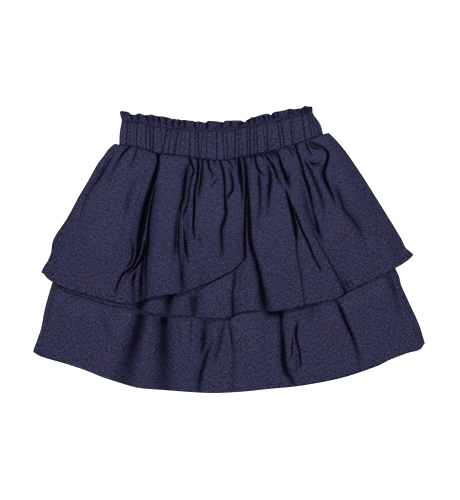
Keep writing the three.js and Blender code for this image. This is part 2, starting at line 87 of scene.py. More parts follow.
TABLE_HALF = 3.0
table_mesh = bpy.data.meshes.new("table_top")
table_mesh.from_pydata(
    [(-TABLE_HALF, -TABLE_HALF, 0), (TABLE_HALF, -TABLE_HALF, 0),
     (TABLE_HALF, TABLE_HALF, 0), (-TABLE_HALF, TABLE_HALF, 0)], [], [(0, 1, 2, 3)])
table_top = bpy.data.objects.new("table_top", table_mesh)
bpy.context.collection.objects.link(table_top)
table_white = bpy.data.materials.new("table_white")
table_white.use_nodes = True
table_shader = table_white.node_tree.nodes["Principled BSDF"]
table_shader.inputs["Base Color"].default_value = (0.93, 0.93, 0.93, 1.0)
table_shader.inputs["Roughness"].default_value = 0.9
table_shader.inputs["Emission Color"].default_value = (1.0, 1.0, 1.0, 1.0)
table_shader.inputs["Emission Strength"].default_value = 0.9
table_mesh.materials.append(table_white)

# ---------------------------------------------------------------------------------------------
# The back panel of the top tier: a gathered panel of navy chambray, the lowest layer, pressed
# flat under the skirt. Its top edge is in the waist seam and its sides are in the side seams.
# ---------------------------------------------------------------------------------------------
CLOTH = 1.0  # one layer of gathered cloth, as the frame holds it, in millimetres
GAP = 0.3  # between two pieces lying on each other
SEAM = 0.03  # between two pieces at a closed seam
LAYER = CLOTH + GAP
SHELL = 0.5  # the cloth as it is seen at an edge
STEEPEST = 1.8  # the most that a slope thickens a layer, measured upright
FINE = 1100  # columns that a panel's upper side is first worked out on
CROWD = 3  # how much closer its columns stand for each unit of slope
CROWD_SLOPE = 1.6  # up to this slope
CROWD_PASSES = 6  # in which the spacing is evened out from row to row
SHADE_SLOPE, STEEP = 1.06, 0.9  # steepness where the painted crease shade begins, and how much more ends it
SHADE_DEPTH, DEEP = 0.8, 3.3  # the same for how far a fold is sunk, in millimetres
FOLD_REACH = 22  # half the width of cloth whose mean height a fold is sunk below


def ease(t):
    """0 below 0 and 1 above 1, with t * t * (3 - 2 t) between."""
    t = np.clip(t, 0.0, 1.0)
    return t * t * (3 - 2 * t)


def mix(a, b, t):
    """a + (b - a) t."""
    return a + (b - a) * t


class Edge:
    """A smooth line through points (along, across), which gives across for any along. Its slope at
    a point is that of the chord between the two neighbours, and between points it is the cubic
    with those slopes. Past its ends it keeps their values."""

    def __init__(self, points):
        self.along, self.across = np.array(points, float).T
        self.slope = np.empty_like(self.across)
        self.slope[1:-1] = (self.across[2:] - self.across[:-2]) / (self.along[2:] - self.along[:-2])
        self.slope[0] = (self.across[1] - self.across[0]) / (self.along[1] - self.along[0])
        self.slope[-1] = (self.across[-1] - self.across[-2]) / (self.along[-1] - self.along[-2])
        self.start, self.end = self.along[0], self.along[-1]

    def __call__(self, at):
        i = np.clip(np.searchsorted(self.along, at) - 1, 0, len(self.along) - 2)
        span = self.along[i + 1] - self.along[i]
        t = np.clip((at - self.along[i]) / span, 0.0, 1.0)
        first = self.across[i] * (1 - t) ** 2 * (1 + 2 * t) + self.slope[i] * span * t * (1 - t) ** 2
        second = self.across[i + 1] * t**2 * (3 - 2 * t) - self.slope[i + 1] * span * t**2 * (1 - t)
        return first + second


class Panel:
    """A panel between four edges, in directions u from side to side and v from top to hem.
    x = left + (right - left) u, and y = top + (hem - top) v, each edge taken at the same share."""

    def __init__(self, top, hem, left, right):
        self.top, self.hem, self.left, self.right = top, hem, left, right

    def sides(self, v):
        """x of the two side edges at v."""
        return (self.left(mix(self.left.end, self.left.start, v)),
                self.right(mix(self.right.end, self.right.start, v)))

    def width(self, v):
        """The distance in x between them."""
        left, right = self.sides(v)
        return right - left

    def point(self, u, v):
        """x and y at u, v. The top edge lies SEAM below the seam's line."""
        x = mix(*self.sides(v), u)
        upper = self.top(mix(*self.sides(0.0), u)) - SEAM
        return x, mix(upper, self.hem(mix(*self.sides(1.0), u)), v)

    def length(self, u):
        """The distance in y from the top edge to the hem."""
        return self.point(u, 0.0)[1] - self.point(u, 1.0)[1]

    def locate(self, x, y):
        """The u and v of a point: v is taken from u and u from v, twelve times in turn."""
        v = np.full(x.shape, 0.5)
        for _ in range(12):
            u = (x - self.sides(v)[0]) / self.width(v)
            top, hem = self.point(u, 0.0)[1], self.point(u, 1.0)[1]
            v = np.clip((top - y) / (top - hem), 0.0, 1.0)
        return np.clip(u, 0.0, 1.0), v


FURROW_DEEPER, FURROW_WIDER = 1.5, 2.2  # a furrow's depth and half width, for each unit of its own
CREASE_REACH = 2.6  # the number of widths past which a crease adds nothing
PIECES = 4  # straight pieces of a crease between two of its points


def crease_heights(x, y, creases):
    """What creases add to the height at points x, y. Each is a smooth line through points
    (x, y, rise, left, right). With d the distance to the nearest place on it and w the width on
    that side, left or right, a ridge adds rise * exp(-(d / w) ** 2) and a furrow, which has a
    sharp bottom, adds 1.5 * rise * (1 - d / (2.2 w)) ** 3."""
    total = np.zeros_like(x)
    for points in creases:
        stations = np.linspace(0, len(points) - 1, PIECES * (len(points) - 1) + 1)
        line = np.stack([Edge(list(enumerate(row)))(stations) for row in zip(*points)], -1)
        reach = CREASE_REACH * line[:, 3:].max()
        near = ((x > line[:, 0].min() - reach) & (x < line[:, 0].max() + reach)
                & (y > line[:, 1].min() - reach) & (y < line[:, 1].max() + reach))
        start, run = line[:-1], line[1:] - line[:-1]
        to_x, to_y = x[near][:, None] - start[:, 0], y[near][:, None] - start[:, 1]
        t = np.clip((to_x * run[:, 0] + to_y * run[:, 1]) / (run[:, :2] ** 2).sum(1), 0, 1)
        off_x, off_y = to_x - t * run[:, 0], to_y - t * run[:, 1]
        nearest = np.argmin(off_x**2 + off_y**2, axis=1)
        one = np.arange(len(nearest))
        t, off_x, off_y = t[one, nearest], off_x[one, nearest], off_y[one, nearest]
        rise, left, right = start[nearest, 2:].T + t * run[nearest, 2:].T
        on_right = run[nearest, 0] * off_y - run[nearest, 1] * off_x > 0
        width = np.where(on_right, right, left)
        share = np.hypot(off_x, off_y) / width
        if line[:, 2].sum() > 0:
            total[near] += rise * np.exp(-(share**2))
        else:
            total[near] += FURROW_DEEPER * rise * np.clip(1 - share / FURROW_WIDER, 0, 1) ** 3
    return total


def steps(*stretches):
    """Values from 0 to 1, in stretches of (end, number of equal steps)."""
    values = [np.zeros(1)]
    for end, count in stretches:
        values.append(np.linspace(values[-1][-1], end, count + 1)[1:])
    return np.concatenate(values)


def steepness(x, y, z):
    """How much longer the surface is than its plan: 1 / (upright part of its normal)."""
    along = [np.gradient(a, axis=0) for a in (x, y, z)]
    across = [np.gradient(a, axis=1) for a in (x, y, z)]
    normal = np.cross(np.stack(across, -1), np.stack(along, -1))
    return np.linalg.norm(normal, axis=-1) / np.maximum(np.abs(normal[..., 2]), 1e-9)


def sunk(z, reach):
    """How deep each point of a row lies below the mean of those within reach places of it."""
    total = np.cumsum(np.pad(z, ((0, 0), (reach + 1, reach)), mode="edge"), axis=1)
    return (total[:, 2 * reach + 1:] - total[:, :-2 * reach - 1]) / (2 * reach + 1) - z


def cloth_mesh(name, x, y, under, over, grain, depth):
    """A closed shell over a grid of points: its upper side at over, its underside at under, and a
    rim between them. Its UV map is the grain in metres: grain = (across, along) for each point.
    Its one attribute is painted shade, 1 in folds, where the cloth is steep or sunk: with a the value
    of ease((steepness - SHADE_SLOPE) / STEEP) and b that of ease(depth), 1 - (1 - a) (1 - b)."""
    rows, columns = x.shape
    points = np.concatenate([
        np.stack([x, y, under], -1).reshape(-1, 3), np.stack([x, y, over], -1).reshape(-1, 3)])
    i, j = np.meshgrid(np.arange(rows - 1), np.arange(columns - 1), indexing="ij")
    low = (i * columns + j).ravel()
    lower = np.stack([low, low + 1, low + columns + 1, low + columns], -1)
    upper = lower[:, ::-1] + rows * columns
    rim = np.concatenate([
        np.arange(columns - 1), np.arange(rows - 1) * columns + columns - 1,
        rows * columns - 1 - np.arange(columns - 1),
        (rows - 1 - np.arange(rows - 1)) * columns])
    after = np.roll(rim, -1)
    wall = np.stack([rim, rim + rows * columns, after + rows * columns, after], -1)
    faces = np.concatenate([lower, upper, wall])
    mesh = bpy.data.meshes.new(name)
    mesh.from_pydata((points * MM).tolist(), [], faces.tolist())
    grid = np.concatenate([np.stack(grain, -1).reshape(-1, 2)] * 2)
    layer = mesh.uv_layers.new(name="grain")
    layer.data.foreach_set("uv", grid[faces.ravel()].astype(np.float32).ravel())
    mesh.polygons.foreach_set("use_smooth", np.ones(len(faces), bool))
    # painted shade: steep and sunk cloth is marked up to 1, so that the material darkens it in place of
    # the shade in its folds
    unshaded_part = (1 - ease((steepness(x, y, over) - SHADE_SLOPE) / STEEP)) * (1 - ease(depth))
    painted_shade = np.tile(1 - unshaded_part.ravel(), 2)
    mesh.attributes.new("painted_shade", "FLOAT", "POINT").data.foreach_set("value", painted_shade.astype(np.float32))
    mesh.update()
    piece = bpy.data.objects.new(name, mesh)
    bpy.context.collection.objects.link(piece)
    return piece


def lay_panel(name, panel, count, rows, top, cut, flat=False, painted_shadow=None):
    """A panel's shell, with its upper side at top(x, y, u, v). A row has count points, set closer
    together where the cloth is steep: their density is 1 + CROWD * slope. The underside is SHELL
    below the upper side, measured across the slope, or on the table if the panel lies flat.
    cut = (width, length) of the cloth in metres gives the grain. A fold's depth, which sets its
    painted shade, is how far it is sunk past SHADE_DEPTH, as a share of DEEP, and painted shadow
    for the strip below another hem, a function of x and y, is added to it."""
    fine = np.linspace(0, 1, FINE)
    u, v = np.meshgrid(fine, rows)
    x, y = panel.point(u, v)
    over = top(x, y, u, v)
    slope = np.abs(np.gradient(over, axis=1) / np.gradient(x, axis=1))
    dense = 1 + CROWD * np.minimum(slope, CROWD_SLOPE)
    for _ in range(CROWD_PASSES):
        dense[1:-1] = (dense[:-2] + 2 * dense[1:-1] + dense[2:]) / 4
    share = np.cumsum(dense, axis=1)
    share = (share - share[:, :1]) / (share[:, -1:] - share[:, :1])
    even = np.linspace(0, 1, count)
    columns = np.stack([np.interp(even, row, fine) for row in share])
    # the fold depth that sets the painted crease shade, with the painted shadow strip below another hem
    # added to it
    depth = (sunk(over, int(FOLD_REACH / panel.width(1.0) * FINE)) - SHADE_DEPTH) / DEEP
    if painted_shadow is not None:
        depth = np.maximum(depth, 0) + painted_shadow(x, y)
    over, depth = (
        np.stack([np.interp(at, fine, row) for at, row in zip(columns, z)]) for z in (over, depth))
    x, y = panel.point(columns, v[:, :count])
    thicker = np.minimum(steepness(x, y, over), STEEPEST)
    under = np.zeros_like(over) if flat else over - SHELL * thicker
    return cloth_mesh(name, x, y, under, over, (columns * cut[0], -v[:, :count] * cut[1]), depth)


def chambray(name, warp, violet_weft, blue_weft, shade_paint_colour):
    """Chambray on the grain map. Slubs are 0.28 warp + 0.22 weft + 0.5 fleck, each of them noise,
    the first two drawn out along their threads. They mix dark warp with paler, shinier weft and
    raise the bump. The weft drifts between violet and blue, by 0.4 in wide patches and by 0.6 in
    narrow ones. The painted shade attribute mixes in a near-black painted shade colour in the
    folds and below hems, where the roughness also goes up to 0.95."""
    material = bpy.data.materials.new(name)
    material.use_nodes = True
    nodes, links = material.node_tree.nodes, material.node_tree.links
    shader = nodes["Principled BSDF"]
    shader.inputs["Specular IOR Level"].default_value = 0.2
    shader.inputs["Specular Tint"].default_value = (0.56, 0.52, 0.94, 1.0)
    shader.inputs["Sheen Weight"].default_value = 0.006
    shader.inputs["Sheen Roughness"].default_value = 0.45
    shader.inputs["Sheen Tint"].default_value = (0.42, 0.42, 0.62, 1.0)
    grain = nodes.new("ShaderNodeUVMap")
    grain.uv_map = "grain"

    def threads(across, along, detail):
        """Noise whose spots are 1 / across wide and 1 / along long, in metres on the grain."""
        mapping = nodes.new("ShaderNodeMapping")
        mapping.inputs["Scale"].default_value = (across, along, 1.0)
        links.new(grain.outputs["UV"], mapping.inputs["Vector"])
        noise = nodes.new("ShaderNodeTexNoise")
        noise.inputs["Scale"].default_value = 1.0
        noise.inputs["Detail"].default_value = detail
        links.new(mapping.outputs["Vector"], noise.inputs["Vector"])
        return noise.outputs["Fac"]

    def combine(kind, a, b):
        """The sum, difference or product of two values, each a number or a socket."""
        node = nodes.new("ShaderNodeMath")
        node.operation = kind
        for socket, value in zip(node.inputs, (a, b)):
            if isinstance(value, (int, float)):
                socket.default_value = value
            else:
                links.new(value, socket)
        return node.outputs[0]

    def stretch(value, low, high, new_low, new_high):
        """new_low below low, new_high above high, and a straight line between."""
        node = nodes.new("ShaderNodeMapRange")
        for key, amount in zip(("From Min", "From Max", "To Min", "To Max"),
                               (low, high, new_low, new_high)):
            node.inputs[key].default_value = amount
        links.new(value, node.inputs["Value"])
        return node.outputs["Result"]

    def tint(share, first, second):
        """first + (second - first) share, each a colour or a socket."""
        node = nodes.new("ShaderNodeMix")
        node.data_type = "RGBA"
        links.new(share, node.inputs["Factor"])
        for socket, colour in ((node.inputs["A"], first), (node.inputs["B"], second)):
            if isinstance(colour, tuple):
                socket.default_value = (*colour, 1.0)
            else:
                links.new(colour, socket)
        return node.outputs["Result"]

    warp_slub = threads(1050, 260, 2)
    weft_slub = threads(260, 1050, 2)
    fleck = threads(950, 950, 1)
    slubs = combine("ADD", combine("MULTIPLY", warp_slub, 0.28),
                    combine("ADD", combine("MULTIPLY", weft_slub, 0.22),
                            combine("MULTIPLY", fleck, 0.50)))
    share = stretch(slubs, 0.465, 0.545, 0.0, 1.0)
    # painted shade: where the attribute is 1, the base colour goes to a near-black and the roughness to
    # 0.95, standing in for the shade in folds and below hems
    shade_attribute = nodes.new("ShaderNodeAttribute")
    shade_attribute.attribute_name = "painted_shade"
    painted_shade = shade_attribute.outputs["Fac"]
    unshaded_part = combine("MULTIPLY", stretch(slubs, 0.46, 0.55, 0.72, 0.50),
                     combine("SUBTRACT", 1.0, painted_shade))
    links.new(combine("ADD", unshaded_part, combine("MULTIPLY", painted_shade, 0.95)), shader.inputs["Roughness"])
    wide_patches = stretch(threads(38, 26, 2), 0.35, 0.65, 0.0, 1.0)
    hue = combine("ADD", combine("MULTIPLY", wide_patches, 0.4),
                  stretch(threads(380, 300, 1), 0.40, 0.60, 0.0, 0.6))
    woven = tint(share, warp, tint(hue, violet_weft, blue_weft))
    # the base colour, darkened by the painted shade
    links.new(tint(painted_shade, woven, shade_paint_colour), shader.inputs["Base Color"])
    bump = nodes.new("ShaderNodeBump")
    bump.inputs["Strength"].default_value = 0.35
    bump.inputs["Distance"].default_value = 0.0002
    links.new(slubs, bump.inputs["Height"])
    links.new(bump.outputs["Normal"], shader.inputs["Normal"])
    return material


# its last colour is the near-black painted shade for folds and for the strips below hems
navy_chambray = chambray(
    "navy_chambray", warp=(0.001, 0.004, 0.014), violet_weft=(0.089, 0.061, 0.148),
    blue_weft=(0.0445, 0.0671, 0.15392), shade_paint_colour=(0.0006, 0.001, 0.003))

# Seams and hems are lines of points (x, y) from left to right, and sides are (y, x) from below.
waist_seam = Edge([
    (-142, 132), (-137, 130.6), (-113, 127.5), (-92, 120.5), (-58, 116.8), (-35, 113.2),
    (-4, 111.4), (10, 114.3), (30, 118), (64, 125.6), (96, 136), (117.5, 143.8), (124.6, 145.6)])
back_tier_hem = Edge([
    (-235, -28.8), (-190, -50), (-110, -70), (0, -76), (110, -60), (190, -30), (231, -6.5)])
tier_left = Edge([
    (-28.8, -235), (-23, -232.5), (-13, -226.3), (-3, -222.5), (7, -221.3), (17, -217.5),
    (37, -204), (62, -190), (87, -175), (107, -163.8), (117, -156.3), (127, -148.8), (132, -142)])
tier_right = Edge([
    (-6.5, 231), (-3.1, 227.5), (2, 221.3), (12, 216.3), (27, 207.5), (57, 188.8), (87, 170),
    (117, 150), (127, 142.5), (137, 133.8), (145.6, 124.6)])

back_tier = Panel(waist_seam, back_tier_hem, tier_left, tier_right)
TIER_CUT = (0.475, 0.215)  # its hem and its length; the top edge is 0.34 wide before gathering
tier_back_cloth = lay_panel(
    "tier_back_cloth", back_tier, 160, steps((1, 60)), lambda x, y, u, v: CLOTH + 0 * x, TIER_CUT,
    flat=True)
tier_back_cloth.data.materials.append(navy_chambray)
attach(tier_back_cloth, "root")
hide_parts("tier_back")

# ---------------------------------------------------------------------------------------------
# The back panel of the lower tier: longer than the top tier, it lies on that tier's back panel
# and comes down to the table past its hem. A narrow strip of it shows beside the front panel.
# ---------------------------------------------------------------------------------------------
HEM_EASE = 14  # over this distance it comes down past the back tier's hem
HEM_CLEAR = 5  # and it stays up this far past it

lower_hem = Edge([
    (-245, -128), (-236, -133.5), (-204, -143.1), (-181, -150.6), (-159, -159.4), (-136, -167),
    (-114, -173), (-84, -175.7), (-24, -179.6), (14, -178.1), (51, -174.4), (89, -170.6),
    (141, -160.6), (186, -145.6), (201, -138.1), (224, -129.4), (239, -125), (245, -117)])
lower_left = Edge([
    (-128, -245), (-123, -243.8), (-113, -240), (-98, -235), (-78, -231.2), (-63, -227.5),
    (-43, -221.3), (-5, -206), (35, -185), (85, -160), (130.6, -137)])
lower_right = Edge([
    (-117, 245), (-113, 243.8), (-93, 237.5), (-63, 223.8), (-43, 215), (-33, 212.5), (0, 195),
    (45, 170), (95, 143), (143.8, 117.5)])


def on_back_tier(x, y):
    """One layer up over the back tier, and eased down to the table past its hem."""
    return LAYER * ease((y - back_tier_hem(x) + HEM_CLEAR + HEM_EASE) / HEM_EASE)


back_lower = Panel(waist_seam, lower_hem, lower_left, lower_right)
LOWER_CUT = (0.50, 0.315)  # its hem and its length; the top edge is 0.34 wide before gathering
lower_back_cloth = lay_panel(
    "lower_back_cloth", back_lower, 200, steps((0.5, 20), (1, 80)),
    lambda x, y, u, v: on_back_tier(x, y) + CLOTH, LOWER_CUT)
lower_back_cloth.data.materials.append(navy_chambray)
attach(lower_back_cloth, "root")
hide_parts("lower_back")

# ---------------------------------------------------------------------------------------------
# The front panel of the lower tier: pressed flat under the flaps, and standing in long soft
# folds below them, where its hem swings out over the back panel's.
# ---------------------------------------------------------------------------------------------
SIDE_ROLL = 6  # radius at which the front panels turn down to their side seams
SIDE_REST = 0.5  # the roll is begun this far in, so that the seam's edge keeps some height
LEAN = 0.8  # how far a hem's puckers lean over for each millimetre above it

lower_front_hem = Edge([
    (-239.5, -128.6), (-204, -142), (-181, -149.6), (-159, -158.4), (-136, -166), (-114, -172),
    (-84, -174.6), (-24, -178.6), (14, -177), (51, -173), (89, -168.4), (141, -158.2),
    (186, -143.4), (201, -136), (224, -127.8), (239, -123.6), (243, -116.8)])
lower_front_left = Edge([
    (-128.6, -239.5), (-113, -234.5), (-98, -229.4), (-78, -225.6), (-63, -221.9), (-43, -216),
    (-5, -201), (35, -181), (85, -157), (130.6, -137)])
lower_front_right = Edge([
    (-116.8, 243), (-93, 235.5), (-63, 221.8), (-33, 210.3), (0, 193), (45, 168), (95, 142),
    (143.8, 117.5)])
under_hem = Edge([
    (-229, -33), (-205, -50.3), (-174, -60.6), (-152, -67.9), (-118, -73.3), (-98, -78.4),
    (-80, -81.9), (-62, -82), (-36, -84.5), (-10, -85.4), (2, -83.6), (14, -77.9), (39, -75.1),
    (54, -76.9), (70, -74.3), (94, -69), (134, -60.2), (142.5, -55.4), (154, -48.8),
    (184, -34.4), (210, -21.6), (222, -14.2), (230.5, -6.8)])

# The wide folds, each a line of points (x, y, rise, left, right) from the waist towards the hem.
lower_folds = [
    # a shade at the left side
    [(-176, -40, -0.5, 9, 7), (-186, -80, -0.7, 9, 8), (-200, -140, -0.7, 9, 8)],
    # the two deep folds, and the third, which runs out
    [(-105, -60, -8, 9, 6.5), (-108, -76, -8.5, 10, 7), (-111, -90, -8.5, 10.5, 7),
     (-114, -105, -9, 11, 7), (-118.5, -120, -9.5, 11, 7), (-122.5, -135, -10.5, 11, 7.5),
     (-127, -150, -12, 11, 8), (-130.5, -165, -13, 11, 9), (-132, -178, -13, 11, 9)],
    [(-76, -55, -7.5, 8, 8), (-79, -75, -8, 9, 8), (-81.5, -95, -8.5, 8.5, 9),
     (-81.5, -120, -9, 9, 9), (-81.5, -150, -10, 9.5, 9.5), (-81, -176, -11, 9.5, 9.5)],
    [(-28, -70, -3.6, 10, 7), (-30, -92, -4.6, 11, 8), (-31, -108, -4.2, 11, 7),
     (-33, -124, -3.0, 9, 7), (-36, -140, 0, 6, 6)],
    # the folds on the right, which curve in to the hem or the side
    [(65, -66, -2.8, 7, 8), (65, -84, -3.0, 6, 8), (65.5, -98, -3.2, 5, 6),
     (66.5, -112, -4.0, 4.6, 4.6), (67.6, -128, -4.8, 4.2, 3.8), (68.5, -142, -5.2, 3.8, 3.8),
     (72, -154, -4.2, 3.8, 4.2), (79, -164, -2.6, 4, 5), (85, -176, -1.4, 5, 5)],
    [(124, -42, -3.4, 2.4, 2.8), (130, -57, -3.8, 2.4, 2.8), (137, -70, -3.6, 2.6, 3),
     (144, -87, -3.2, 2.6, 3), (150, -100, -3.0, 2.6, 3), (156, -114, -2.6, 2.6, 3),
     (160, -128, -2.0, 2.8, 3.2), (164, -142, -1.2, 4, 4), (167, -156, -0.6, 4, 4)],
    [(194, -14, -2.6, 4, 3), (199, -30, -2.8, 4, 3), (204, -46, -2.6, 4, 3),
     (209, -62, -1.8, 4, 3), (215, -80, -1.2, 4, 4), (224, -96, 0, 5, 5)],
    # a shade between those, and the swell left of them
    [(100, -55, -2.0, 5, 5), (103, -76, -1.8, 5, 5), (108, -100, 0, 6, 6)],
    [(28, -70, 1.0, 16, 12), (34, -120, 1.2, 18, 14), (40, -170, 0.8, 18, 14)],
]

# The sharper creases.
lower_creases = [
    # a soft shade at the left, and a small tuck at the flaps' hem
    [(-158, -68, -0.8, 4, 4), (-156, -90, -1.4, 4, 4), (-151, -106, -1.1, 4, 4),
     (-146, -120, 0, 4, 4)],
    [(-139.5, -70, 1.4, 1.2, 1.2), (-143, -75, 1.4, 1.1, 1.1), (-148.5, -82, 0, 1, 1)],
    [(-142, -69, -1.2, 1.2, 1.2), (-146, -75, -1.0, 1.1, 1.1), (-151, -81, 0, 1, 1)],
    # thin ridges beside the two deep folds
    [(-122, -88, 0, 1.4, 1.4), (-121.5, -104, 0.6, 1.4, 1.4), (-125, -115, 0.6, 1.4, 1.4),
     (-132, -123, 0.5, 1.3, 1.3), (-141, -128, 0.4, 1.2, 1.2), (-153, -133, 0, 1.2, 1.2)],
    [(-115.5, -107, 0.9, 1, 1), (-117.5, -112, 0.9, 1, 1), (-119, -119, 0, 1, 1)],
    [(-89, -119, 0, 1.1, 1.1), (-92, -125, 1.2, 1.1, 1.1), (-96.5, -133, 0, 1, 1)],
    # a short line and a shade between the second fold and the third
    [(-43.5, -80, -2.2, 1, 1.1), (-46, -89, -2.2, 1, 1.1), (-47, -100, -1.5, 1, 1.2),
     (-47, -113, -0.9, 1, 1.2), (-44, -124, 0, 1, 1)],
    [(-63, -84, -0.7, 3, 3), (-61, -110, -0.9, 3, 3), (-58, -140, 0, 3, 3)],
    # the third fold's lower end, with a thin line across it
    [(-22, -114, -1.2, 4, 3), (-28, -131, -2.8, 5.5, 4), (-32, -146, -3.2, 5.5, 4),
     (-36, -160, -3.2, 5.5, 4), (-37, -178, -2.2, 6, 5)],
    [(-24, -113, -0.8, 0.9, 1), (-32, -122, -0.9, 0.9, 1), (-41, -131, 0, 0.9, 1)],
    # a ridge with a line on each side
    [(-7.5, -78, 1.4, 1.8, 1.3), (-10, -98, 2.0, 1.8, 1.3), (-12.5, -114, 2.0, 1.8, 1.3),
     (-17, -130, 1.4, 1.8, 1.3), (-20, -146, 0, 2, 2)],
    [(-4.5, -78, -2.4, 1.5, 1.5), (-6, -96, -1.8, 1.5, 1.5), (-8.5, -114, -1.2, 1.4, 1.4),
     (-15, -134, -1.2, 1.3, 1.5), (-19, -148, 0, 1.3, 1.5)],
    [(-1.5, -78, -2.8, 1.6, 1.7), (0.5, -92, -2.2, 1.3, 1.9), (2.5, -106, -1.9, 1.3, 2.4),
     (4.5, -120, -1.6, 1.6, 3), (6.5, -136, -1.4, 2.6, 3.4), (5.5, -155, -1.4, 4.5, 5),
     (4, -176, -1.4, 5.5, 6)],
    # the loops beside the fold on the right
    [(86, -87, -0.6, 1.3, 1.3), (83.5, -101, -3.6, 1.3, 1.5), (83.5, -110, -3.6, 1.2, 1.3),
     (86, -120, -2.8, 1, 1.1), (88, -130, -3.0, 1, 1.1), (89, -142, -2.4, 1, 1.1),
     (89, -151, 0, 1, 1)],
    [(80.5, -107, -1.0, 1, 1.1), (79, -118, -1.8, 1, 1.1), (78.5, -130, -1.8, 1, 1.1),
     (79.5, -140, 0, 1, 1)],
    [(82, -122, 0, 1.2, 1.2), (84, -132, -1.2, 1.2, 1.2), (85, -146, -1.2, 1.2, 1.2),
     (84, -156, -0.8, 1.2, 1.2), (86, -166, 0, 1.2, 1.2)],
    # a soft shade on the right
    [(113, -84, -0.8, 7, 6), (116, -104, -0.6, 7, 6), (118, -120, 0, 7, 6)],
]


def roll(distance, radius):
    """A quarter circle: 0 at the edge, 1 from the radius inwards."""
    return np.sqrt(1 - (1 - np.clip(distance / radius, 0.0, 1.0)) ** 2)


def above(z):
    """z over 2, and 2 exp(z / 2 - 1) below it: kept above zero without a flat floor."""
    return np.where(z > 2, z, 2 * np.exp(np.minimum(z, 2) / 2 - 1))


def fullness(v, seam, crown, hem):
    """How far a gathered panel stands up at v: from seam to hem in a straight line, and crown times
    sin(pi v ** 0.7) more, which is fullest a little nearer the seam."""
    return mix(seam, hem, v) + crown * np.sin(np.pi * v**0.7)


def crumple(x, y, size, seed):
    """Uneven dents, mostly between -1 and 1: the sum of twelve waves over 1.4 times the root of
    twelve. Each is cos(2 pi (x cos(turn) + 0.35 y sin(turn)) / width + start), which runs close to
    the cloth's length, with a seeded turn, a width of 0.6 to 1.8 times size and a seeded start."""
    draw = np.random.default_rng(seed)
    waves = 12
    total = np.zeros_like(x)
    for _ in range(waves):
        turn = draw.normal(0.0, 0.45)
        width = size * draw.uniform(0.6, 1.8)
        across = x * np.cos(turn) + y * np.sin(turn) * 0.35
        total += np.cos(2 * np.pi * across / width + draw.uniform(0, 2 * np.pi))
    return total / waves**0.5 / 1.4


def dents(x, y, wide, narrow, seed):
    """The wide, soft dents of cloth that was folded and laid out again, with finer ones in them:
    0.22 crumple(wide) + 0.05 crumple(narrow)."""
    return 0.22 * crumple(x, y, wide, seed) + 0.05 * crumple(x, y, narrow, seed + 1)


def hem_puckers(panel, u, v, height, size, seed):
    """Fine slanting puckers that a rolled hem draws into the cloth: waves of that height, size
    apart along the hem, leaning over by LEAN and shifted by 1.5 crumple(30). At a rise r above the
    hem they are exp(-(r / 7) ** 2) as high, times 0.5 + 0.5 crumple(38), kept over 0.15."""
    rise = (1 - v) * panel.length(u)
    along = u * panel.width(1.0)
    uneven = 0.5 + 0.5 * crumple(along, rise * 0, 38.0, seed)
    shifted = along + LEAN * rise + 1.5 * crumple(along, rise, 30.0, seed + 1)
    wave = np.cos(2 * np.pi * shifted / size)
    return height * (wave * np.exp(-(rise / 7.0) ** 2) * np.clip(uneven, 0.15, 1.0))


def freed(distance, near, far):
    """What share of its fullness cloth has at a distance from the edge that presses on it: half
    of it within near, and the rest within far."""
    return 0.5 * ease(distance / near) + 0.5 * ease(distance / far)


def between(x, first, last, fade=12):
    """1 from first to last, eased down to 0 over a distance of fade outside them."""
    return ease((x - first + fade) / fade) * ease((last + fade - x) / fade)


def past_hem(distance, lifted, pressed_far, lifted_far):
    """The share of its fullness that cloth has at a distance past another's hem: where the hem
    presses on it freed(d, 3, pressed_far), where it is lifted freed(d, 7, lifted_far), with d
    counted from 0.5 under that hem."""
    return freed(distance + 0.5, mix(3, 7, lifted), mix(pressed_far, lifted_far, lifted))


def uncovered(x, y):
    """0 under the flaps' hem and 1 well past it. The hem is lifted in two places."""
    lifted = between(x, -118, -70) + between(x, 44, 106)
    return past_hem(under_hem(x) - y, lifted, 28, 9)


STITCH = 2.4  # length of a stitch
PITCH = 3.1  # from one stitch to the next
THREAD = 0.32  # thickness of the thread
ENDS_DIP, MIDDLE_RISE = -0.4, 0.35  # of a stitch's spine, in thicknesses of the thread
HEM = 6  # from a hem to its stitches

# The sewing thread, whose plies go from a darker to a lighter navy.
thread = bpy.data.materials.new("navy_thread")
thread.use_nodes = True
thread_nodes, thread_shader = thread.node_tree.nodes, thread.node_tree.nodes["Principled BSDF"]
plies = thread_nodes.new("ShaderNodeTexNoise")
plies.inputs["Scale"].default_value = 2500.0
shades = thread_nodes.new("ShaderNodeValToRGB")
shades.color_ramp.elements[0].position, shades.color_ramp.elements[1].position = 0.35, 0.65
shades.color_ramp.elements[0].color = (0.010, 0.011, 0.030, 1.0)
shades.color_ramp.elements[1].color = (0.030, 0.030, 0.072, 1.0)
thread_place = thread_nodes.new("ShaderNodeTexCoord")
thread.node_tree.links.new(thread_place.outputs["Object"], plies.inputs["Vector"])
thread.node_tree.links.new(plies.outputs["Fac"], shades.inputs["Fac"])
thread.node_tree.links.new(shades.outputs["Color"], thread_shader.inputs["Base Color"])
thread_shader.inputs["Roughness"].default_value = 0.6


